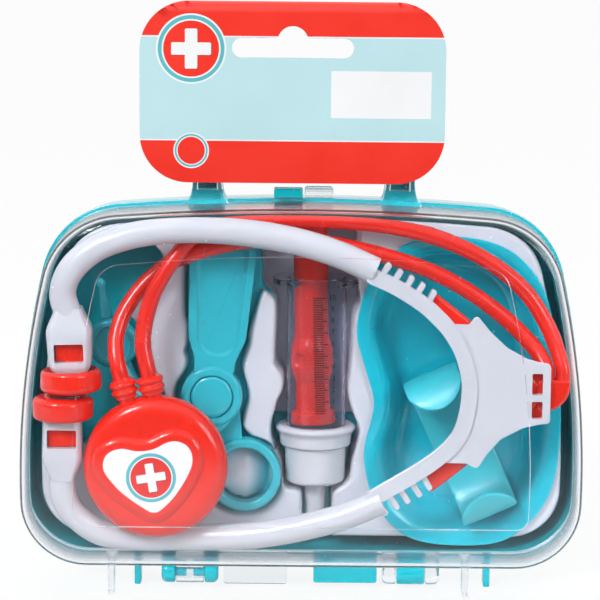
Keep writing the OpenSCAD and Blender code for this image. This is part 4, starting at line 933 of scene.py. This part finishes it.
for name, top, foot in (("hose_collar_inner", [-63.8, -14.4, 80], [-62, -14.4, 73]),
                        ("hose_collar_outer", [-54, -14.4, 81], [-52.6, -14.4, 74.6])):
    d = np.array(top) - foot
    reach = np.linalg.norm(d)
    below = [q for q in collar_profile if q[1] < reach - 0.05]
    profile = softened(below + [[3.4, reach], [0, reach]], 0.5, 4)
    piece(name + "_grip", turned(profile, foot, d, 56), red_gloss, "case", [name])
sticker_inks = {"white": paint(238, 235, 238), "ring": paint(88, 178, 184), "red": paint(224, 44, 36),
                "shade": paint(150, 34, 34)}
sticker_print = printed("printed_sticker", lambda tree, place: emblem(
    tree, paint(238, 235, 238), place, -52.9, 45.9, (8.86, 8.85, 7.65, 7.25), (10.3, 2.9, 0.4),
    math.radians(9.5), sticker_inks), 0.3, 0.06)
piece("heart_sticker_print", plate(heart_loop(0), -21.95, -21.79, 0.05, 1), sticker_print, "case",
      ["heart_sticker"])

# ---- Syringe -----------------------------------------------------------------------
# Clear barrel with a printed scale, a red plunger that slides in it, a white hub that the
# barrel sits in, and a white nozzle. The brim of the hub rests in the back shell.

SYRINGE = np.array([4.2, 8.7, 57.0])            # foot of the plunger's axis; the axis leans a little
BARREL_X = 5.1                                  # the barrel stands upright beside it
LEAN = math.radians(-1.3)
UP = np.array([math.sin(LEAN), 0, math.cos(LEAN)])
ACROSS = np.array([math.cos(LEAN), 0, -math.sin(LEAN)])


def upright(profile, around):
    """Surface turned about the z axis."""
    return turned(profile, [0, 0, 0], [0, 0, 1], around)


def on_syringe(part):
    """Part drawn about the syringe's axis put in its place."""
    v = np.asarray(part[0])
    return SYRINGE + v[:, :1] * ACROSS + v[:, 1:2] * np.array([0, 1, 0]) + v[:, 2:] * UP, part[1]


def on_barrel(part):
    """Part drawn about the barrel's axis put in its place."""
    return np.asarray(part[0]) + [BARREL_X, SYRINGE[1], SYRINGE[2]], part[1]


def flat_disc(r, flat, z0, z1, edge=0.5):
    """Disc flattened front and back, its axis along z."""
    a = math.degrees(math.asin(flat / r))
    loop = np.vstack([arc(0, 0, r, -a, a, 16), arc(0, 0, r, 180 - a, 180 + a, 16)])
    loop = softened(loop, 0.6, 2, True)
    t = np.linspace(0, np.pi / 2, 5)
    rings = [(edge * (1 - np.sin(v)), z0 + edge * (1 - np.cos(v))) for v in t]
    rings += [(edge * (1 - np.sin(v)), z1 - edge * (1 - np.cos(v))) for v in t[::-1]]
    return skin([np.hstack([inset(loop, d), np.full((len(loop), 1), z)]) for d, z in rings])


barrel_clear = clear_plastic("barrel_styrene", paint(232, 234, 246), (0.92, 0.93, 0.95, 1.0), clarity=0.985)
BARREL_R, BORE_R = 10.8, 9.7
BARREL_FOOT, BARREL_TOP = -1.2, 56.5            # heights from SYRINGE
barrel_profile = [[0, BARREL_FOOT], [BARREL_R, BARREL_FOOT], [BARREL_R, BARREL_TOP], [0, BARREL_TOP]]
barrel_flange = flat_disc(16, 9.6, BARREL_TOP - 2.5, BARREL_TOP)
barrel = solid([upright(softened(barrel_profile, 0.3, 3), 96), barrel_flange],
               [rod(BORE_R, -3, 60, [0, 0, 0], [0, 0, 1], 96)])
piece("syringe_barrel_clear", on_barrel(barrel), barrel_clear, "case", ["syringe_barrel"])

plunger_profile = softened([
    [0, 3.2], [7.92, 3.2], [8.12, 3.6], [8.12, 7.2], [7.72, 7.6], [6.4, 7.8], [6.2, 18.6], [7.6, 22.2],
    [7.9, 26.8], [7.6, 31.4], [6.2, 35], [6.2, 77.8], [0, 77.8],
], 1.6, 5)
dimple_axis = np.array([math.sin(math.radians(-36)), -math.cos(math.radians(-36)), 0.0])
dimple = turned([[0, 0], [1.2, 0], [2.4, 0.5], [3.2, 1.4], [3.4, 5], [0, 5]],
                dimple_axis * 6.4 + [0, 0, 26.8], dimple_axis, 48)
plunger = solid([upright(plunger_profile, 80), flat_disc(14.3, 8.6, 77.6, 79.9)], [dimple])
piece("syringe_plunger_rod", on_syringe(plunger), red_gloss, "plunger", ["syringe_plunger"])

hub_profile = softened([
    [0, -18.9], [9.4, -18.9], [10.7, -17.9], [11.1, -5.3], [12.8, -4.7], [13.1, -0.9], [13.7, 0.1],
    [14.4, 0.9], [14.4, 1.8], [13.2, 2.6], [10.8, 2.6], [10.8, -1.2], [9.2, -1.2], [9.2, -17.6], [0, -17.6],
], 0.5, 4)
piece("syringe_hub_cup", on_barrel(upright(hub_profile, 96)), white_satin,
      "case", ["syringe_hub"])
nozzle_profile = softened([[0, -37], [2.6, -37], [3, -36.2], [3.9, -19.1], [3.9, -18.8], [0, -18.8]], 0.4, 3)
piece("syringe_nozzle_tip", on_barrel(upright(nozzle_profile, 48)), white_satin,
      "case", ["syringe_nozzle"])

# Printed scale: black ink on the barrel's front, five short lines to each figure
INK_R, FIGURE_STEP, FIGURE_1, INK_LEAN, INK_W, FIGURE_SIZE = 10.84, 4.2, 12.5, 0.03, 0.38, 2.9


def wrapped(verts):
    """Flat art bent round the barrel: x becomes an angle, y the height and z the ink's thickness."""
    a = (verts[:, 0] - INK_LEAN * (verts[:, 1] - 30)) / INK_R
    r = INK_R + verts[:, 2]
    return np.stack([r * np.sin(a), -r * np.cos(a), verts[:, 1]], 1)


def ink_line(x0, x1, z, w):
    """Thin printed line from x0 to x1 along the barrel's girth."""
    x = np.linspace(x0, x1, 9)
    rings = np.stack([np.stack([np.full(4, v), [z - w / 2, z + w / 2, z + w / 2, z - w / 2],
                                [0, 0, 0.04, 0.04]], 1) for v in x])
    verts, faces = skin(rings)
    return wrapped(verts), faces


art = []
for step_number in range(0, 51):
    z = FIGURE_1 + (step_number - 5) * FIGURE_STEP / 5
    long_line = step_number % 5 == 0 and step_number > 0
    art.append(ink_line(-0.9, 4.3 if long_line else 2.7, z, INK_W))
for figure in range(1, 11):
    words = bpy.data.curves.new("figure", "FONT")
    words.body, words.size, words.extrude = str(figure), FIGURE_SIZE, 0.02
    words.align_x, words.align_y, words.resolution_u = "CENTER", "CENTER", 3
    holder = bpy.data.objects.new("figure", words)
    scene.collection.objects.link(holder)
    mesh = bpy.data.meshes.new_from_object(holder.evaluated_get(bpy.context.evaluated_depsgraph_get()))
    flat = np.zeros(len(mesh.vertices) * 3)
    mesh.vertices.foreach_get("co", flat)
    flat = flat.reshape(-1, 3) + [6.4, FIGURE_1 + (figure - 1) * FIGURE_STEP, 0.02]
    art.append((wrapped(flat), [list(p.vertices) for p in mesh.polygons]))
    bpy.data.objects.remove(holder)
ink_black = plastic("scale_ink", paint(14, 12, 14), roughness=0.6, clouding=0.1, spread=0.1, dust=0.0,
                    bump=0.05)
piece("syringe_scale_print", on_barrel(together(art)), ink_black, "case")

# ---- Scissors ----------------------------------------------------------------------
# Two glossy teal halves on a pressed pivot. Blunt blades with a sunk panel inside a raised
# border, a boss with a raised ring, and round finger rings.

teal_light = plastic("teal_moulding", paint(50, 180, 194), roughness=0.18, clouding=0.035, spread=0.08,
                     dust=0.12, bump=0.14, Coat_Weight=0.4, Coat_Roughness=0.08, Subsurface_Weight=0.08,
                     Subsurface_Scale=0.002)


def on_scissors(part):
    """Part drawn about the pivot, blades along +z, put in its place."""
    return leant(np.asarray(part[0]), TURN) + [PIVOT_X, 0, PIVOT_Z], part[1]


blade = softened(np.vstack([[[7.4, 8], [7.4, 13], [9, 17], [10.6, 21], [12, 50]],
                            arc(4, 54.4, 8, 10, 90, 10), arc(-4, 54.4, 8, 90, 170, 10),
                            [[-12, 50], [-10, 21], [-8.6, 17], [-7, 13], [-7.2, 8]]]), 2.2, 4, True)


def scissor_half(y0, y1, side, ring_y0, ring_y1):
    """Blade, arm, boss and finger ring of one half."""
    arm = np.array([[-side * 7, 6], [-side * 9.4, -5], [-side * 6, -11], [side * 4.4, -20], [side * 10, -24],
                    [side * 12.4, -17], [side * 10.6, -6], [side * 8, 2]], float)
    arm = softened(arm if side > 0 else arm[::-1], 2.0, 4, True)
    boss = softened([[0, 0], [11, 0], [11, y1 - y0], [0, y1 - y0]], 0.5, 3)
    mid, deep = (ring_y0 + ring_y1) / 2, (ring_y1 - ring_y0) / 2
    section = softened([[10.0, deep], [10.0, -deep], [13.25, -deep], [13.25, deep]], 1.3, 5, True)
    centre = np.array([side * RING_OUT, mid, -RING_DOWN])
    a = np.linspace(0, 2 * np.pi, 97)[:-1, None, None]
    swept = centre + section[None, :, :1] * np.concatenate([np.cos(a), 0 * a, np.sin(a)], -1) + \
        section[None, :, 1:] * np.array([0, 1, 0])
    m, n = swept.shape[:2]
    i, j = np.meshgrid(np.arange(m), np.arange(n), indexing="ij")
    i2, j2 = (i + 1) % m, (j + 1) % n
    quads = np.stack([i * n + j, i2 * n + j, i2 * n + j2, i * n + j2], -1).reshape(-1, 4)
    ring = (swept.reshape(-1, 3), quads.tolist())
    hole = rod(10.6, -9, 9, centre, [0, 1, 0], 96)
    body = solid([plate(blade, y0, y1, 0.5), plate(arm, y0, y1, 0.5),
                  turned(boss, [0, y1, 0], [0, -1, 0], 96)], [hole])
    return [body, ring]


FRONT0, FRONT1, BACK0, BACK1 = -1.9, 1.5, 1.8, 5.2     # depths of the front half and of the back half
panel = softened(np.vstack([arc(0.4, 21.6, 7.4, 180, 360, 20), arc(1.4, 52.4, 8, 0, 90, 8),
                            arc(-1.4, 52.4, 8, 90, 180, 8)]), 0.8, 2, True)
t = np.linspace(0, 1, 5)
sunk = [at_depth(inset(panel, 1.3 * (1 - math.sin(v * math.pi / 2))), FRONT0 + 1.3 - 1.4 * v) for v in t]
sunk_panel = skin(sunk + [at_depth(inset(panel, -0.05), FRONT0 - 1)])
pit = rod(7.9, -3, 0.6, [0, FRONT0, 0], [0, 1, 0], 96)
bore = rod(3.08, -9, 9, [0, 0, 0], [0, 1, 0], 48)
raised_boss = turned(softened([[0, -0.9], [10.2, -0.9], [11, 0.0], [11, 1.0], [0, 1.0]], 0.6, 5),
                     [0, FRONT0, 0], [0, 1, 0], 96)
front_body, front_ring = scissor_half(FRONT0, FRONT1, -1, FRONT0, FRONT1)
front_body = solid([front_body, raised_boss], [sunk_panel, pit, bore])
piece("scissors_front_blade", on_scissors(together([front_body, front_ring])), teal_light,
      "scissors_front", ["scissors_front_half"])
back_body, back_ring = scissor_half(BACK0, BACK1, 1, FRONT1 - 3.8, BACK1)
pin_hole = rod(3.0, -9, 9, [0, 0, 0], [0, 1, 0], 48)
piece("scissors_back_blade", on_scissors(together([solid([back_body], [pin_hole]), back_ring])), teal_light,
      "case", ["scissors_back_half"])
pivot_profile = softened([[0, -1.2], [4, -1.15], [6.6, -0.9], [7.4, -0.4], [7.4, 0], [3, 0], [3, 7.0],
                          [0, 7.0]], 0.5, 4)
piece("scissors_pivot_cap", on_scissors(turned(pivot_profile, [0, FRONT0 + 0.15, 0], [0, 1, 0], 72)),
      teal_light, "case", ["scissors_pivot"])

# ---- Kidney dish -------------------------------------------------------------------
# Deep glossy teal dish with a broad rolled rim, pressed into its opening in the tray.

RIM_Y, DISH_DEEP = -0.4, 18.6
DISH_WALL = 1.2
floor_y = RIM_Y + DISH_DEEP - DISH_WALL
inner_side = [[0.7, 0.01], [4.2, 0.05], [6.6, 0.16], [8.2, 0.45], [9.8, 0.76], [11.6, 0.93], [15, 1]]
inner_side = [[d, RIM_Y + share * (floor_y - RIM_Y)] for d, share in inner_side]
outer_side = [
    [13.4, floor_y + DISH_WALL], [10.4, RIM_Y + 0.93 * DISH_DEEP], [8.4, RIM_Y + 0.74 * DISH_DEEP],
    [6.8, RIM_Y + 0.45 * DISH_DEEP], [5.2, RIM_Y + 0.19 * DISH_DEEP], [3, RIM_Y + 2.1], [0, RIM_Y + 1.9],
    [0, RIM_Y + 0.2],
]
dish_profile = softened(outer_side + inner_side, 1.6, 5)
normal = inset(dish_loop, 1.0) - dish_loop
dish_rings = [at_depth(smooth_loop(dish_loop + d * normal, 5), y) for d, y in dish_profile]
dish_teal = plastic("dish_moulding", paint(8, 190, 210), roughness=0.14, clouding=0.035, spread=0.08,
                    dust=0.15, bump=0.14, Coat_Weight=0.5, Coat_Roughness=0.05, Subsurface_Weight=0.08,
                    Subsurface_Scale=0.002)
piece("kidney_dish_bowl", skin(dish_rings), dish_teal, "case", ["kidney_dish"])

# ---- Bandage cuff ------------------------------------------------------------------
# Springy teal band with two rounded tongues that point at each other, stood in the dish.

CUFF = np.array([57.2, 0.0, 54.4])
CUFF_LEAN, CUFF_W, CUFF_T, HALF_L = math.radians(90 - 24.3), 20.5, 1.7, 28.2
CUFF_BACK, CUFF_FRONT, TONGUE_GAP = floor_y - 0.3, -17.0, 17.6
a = np.radians(np.linspace(-90, 270, 1441))
half_deep = (CUFF_BACK - CUFF_FRONT) / 2
band = np.stack([HALF_L * np.sign(np.cos(a)) * np.abs(np.cos(a)) ** 0.8,
                 half_deep * np.sign(np.sin(a)) * np.abs(np.sin(a)) ** 0.8 + (CUFF_BACK + CUFF_FRONT) / 2], 1)
first = np.where(band[:720, 0] > TONGUE_GAP)[0][0]
last = 720 + np.where(band[720:, 0] < -TONGUE_GAP)[0][-1]
band = band[first:last + 1]
run = np.concatenate([[0], np.cumsum(np.linalg.norm(np.diff(band, axis=0), axis=1))])
tip_r = CUFF_W / 2
theta = np.linspace(0.12, np.pi / 2, 14)
s = np.concatenate([tip_r * (1 - np.cos(theta)), np.linspace(tip_r, run[-1] - tip_r, 90)[1:-1],
                    run[-1] - tip_r * (1 - np.cos(theta[::-1]))])
half_w = np.concatenate([tip_r * np.sin(theta), np.full(88, tip_r), tip_r * np.sin(theta[::-1])])
line = np.stack([np.interp(s, run, band[:, 0]), np.interp(s, run, band[:, 1])], 1)
along = unit(np.stack([np.interp(s + 0.3, run, band[:, 0]), np.interp(s + 0.3, run, band[:, 1])], 1)
             - np.stack([np.interp(s - 0.3, run, band[:, 0]), np.interp(s - 0.3, run, band[:, 1])], 1))
inward = np.stack([-along[:, 1], along[:, 0]], 1)
section = softened([[-1, 0], [1, 0], [1, CUFF_T], [-1, CUFF_T]], 0.5, 4, True)
section[:, 0] = np.clip(section[:, 0], -1, 1)
across = half_w[:, None] * section[None, :, 0]
lx = line[:, :1] + inward[:, :1] * section[None, :, 1]
ly = line[:, 1:] + inward[:, 1:] * section[None, :, 1]
c, sn = math.cos(CUFF_LEAN), math.sin(CUFF_LEAN)
rings = CUFF + np.stack([lx * c + across * sn, ly, across * c - lx * sn], -1)
cuff_teal = plastic("cuff_moulding", paint(62, 196, 208), roughness=0.3, clouding=0.03, spread=0.08,
                    dust=0.1, bump=0.1, Coat_Weight=0.15, Coat_Roughness=0.2, Subsurface_Weight=0.1,
                    Subsurface_Scale=0.002)
piece("bandage_cuff_band", skin(rings), cuff_teal, "case", ["bandage_cuff"])

# ---- Ear scope ---------------------------------------------------------------------
# Small teal toy otoscope behind the headset: eyepiece, cone, grip and a thin probe.

scope_profile = softened([[0, 0], [2.4, 0], [2.9, 0.6], [6.6, 12], [8.4, 13.4], [9.2, 15], [9.2, 20.4],
                          [8.2, 22.2], [6.4, 22.2], [6.0, 19.6], [0, 19.6]], 0.5, 4)
grip_route = [[-66.4, 9.4, 82.4], [-62.6, 9.6, 74], [-58.6, 9.8, 66], [-55, 9.8, 60]]
piece("ear_scope_body", together([
    turned(scope_profile, [-68, 23.3, 89.6], [0, -1, 0], 64),
    skin(tube_rings(smooth_path(grip_route, 4), 3.8, 32)),
]), teal_light, "case", ["ear_scope"])
tip, root = np.array([-72.2, 2.6, 111]), np.array([-70.3, 4, 98.8])
reach = np.linalg.norm(tip - root)
probe_profile = softened([[0, 0], [2.1, 0], [1.9, 3], [1.2, reach - 1.4], [1.7, reach - 0.6],
                          [1.9, reach + 0.6], [1.5, reach + 1.6], [0.7, reach + 2.2], [0, reach + 2.3]],
                         0.5, 4)
piece("ear_scope_probe_tip", turned(probe_profile, root, tip - root, 40), teal_light, "case",
      ["ear_scope_probe"])

# ---- Floor and light ---------------------------------------------------------------
# Pale floor that keeps the case's shadow, darker far in front, where the lid would mirror
# it, and a soft light tent: a world, a soft lamp above the left and a weaker one at the right.

floor_mesh = bpy.data.meshes.new("floor")
floor_mesh.from_pydata([(-6, -4, 0), (6, -4, 0), (6, 8, 0), (-6, 8, 0)], [], [(0, 1, 2, 3)])
floor = bpy.data.objects.new("floor", floor_mesh)
scene.collection.objects.link(floor)
pale, tree, shader, where = new_finish("pale_floor")
shader.inputs["Roughness"].default_value = 0.7
depth_of = put(tree, "ShaderNodeSeparateXYZ", where).outputs["Y"]
behind = ramp(tree, depth_of, -0.12, -0.04, 0.0, 1.0)
close = ramp(tree, depth_of, -0.30, -0.16, 0.0, 1.0)
tree.links.new(blended(tree, close, (0.05, 0.05, 0.055, 1), (0.9, 0.9, 0.9, 1)),
               shader.inputs["Base Color"])
seen = tree.nodes.new("ShaderNodeLightPath")
share = maths(tree, "MAXIMUM", seen.outputs["Is Camera Ray"],
              maths(tree, "MULTIPLY", seen.outputs["Is Transmission Ray"], behind))
glow = put(tree, "ShaderNodeEmission", (1, 1, 1, 1), 1.0)
mixed = put(tree, "ShaderNodeMixShader", maths(tree, "MULTIPLY", share, 0.85), shader.outputs[0],
            glow.outputs[0])
tree.links.new(mixed.outputs[0], tree.nodes["Material Output"].inputs["Surface"])
floor_mesh.materials.append(pale)

# The tent is white behind the case, bright overhead and dim where the camera stands
world = bpy.data.worlds.new("tent")
scene.world = world
world.use_nodes = True
tree = world.node_tree
toward = put(tree, "ShaderNodeSeparateXYZ", tree.nodes.new("ShaderNodeTexCoord").outputs["Generated"])
overhead = ramp(tree, toward.outputs["Z"], 0.15, 0.75, 0.16, 1.0)
backdrop = ramp(tree, toward.outputs["Y"], 0.1, 0.35, 0.0, 1.0)
sides = ramp(tree, toward.outputs["Y"], -0.45, -0.1, 0.0, 1.0)
seen = tree.nodes.new("ShaderNodeLightPath")
shown = maths(tree, "MAXIMUM", seen.outputs["Is Camera Ray"],
              maths(tree, "MULTIPLY", seen.outputs["Is Transmission Ray"], sides))
strength = maths(tree, "MAXIMUM", overhead, maths(tree, "MAXIMUM", backdrop, shown))
tree.links.new(strength, tree.nodes["Background"].inputs["Strength"])
tree.nodes["Background"].inputs["Color"].default_value = (1, 1, 1, 1)


def soft_lamp(name, place, aim, size, power):
    """Square soft lamp at place that faces aim."""
    data = bpy.data.lights.new(name, "AREA")
    data.shape, data.size, data.energy = "SQUARE", size, power
    lamp = bpy.data.objects.new(name, data)
    scene.collection.objects.link(lamp)
    back = unit(np.array(place, float) - aim)
    side = unit(np.cross([0, 0, 1.0], back))
    grip = np.eye(4)
    grip[:3, 0], grip[:3, 1], grip[:3, 2], grip[:3, 3] = side, np.cross(back, side), back, place
    lamp.matrix_world = Matrix(grip.tolist())


MIDDLE = (0, 0, 0.09)                           # of the case, in metres
soft_lamp("key", place=(-0.7, -1.1, 1.0), aim=MIDDLE, size=0.34, power=12.0)
soft_lamp("fill", place=(1.0, -1.0, 0.5), aim=MIDDLE, size=0.6, power=6.0)

scene.view_settings.view_transform = "Standard"
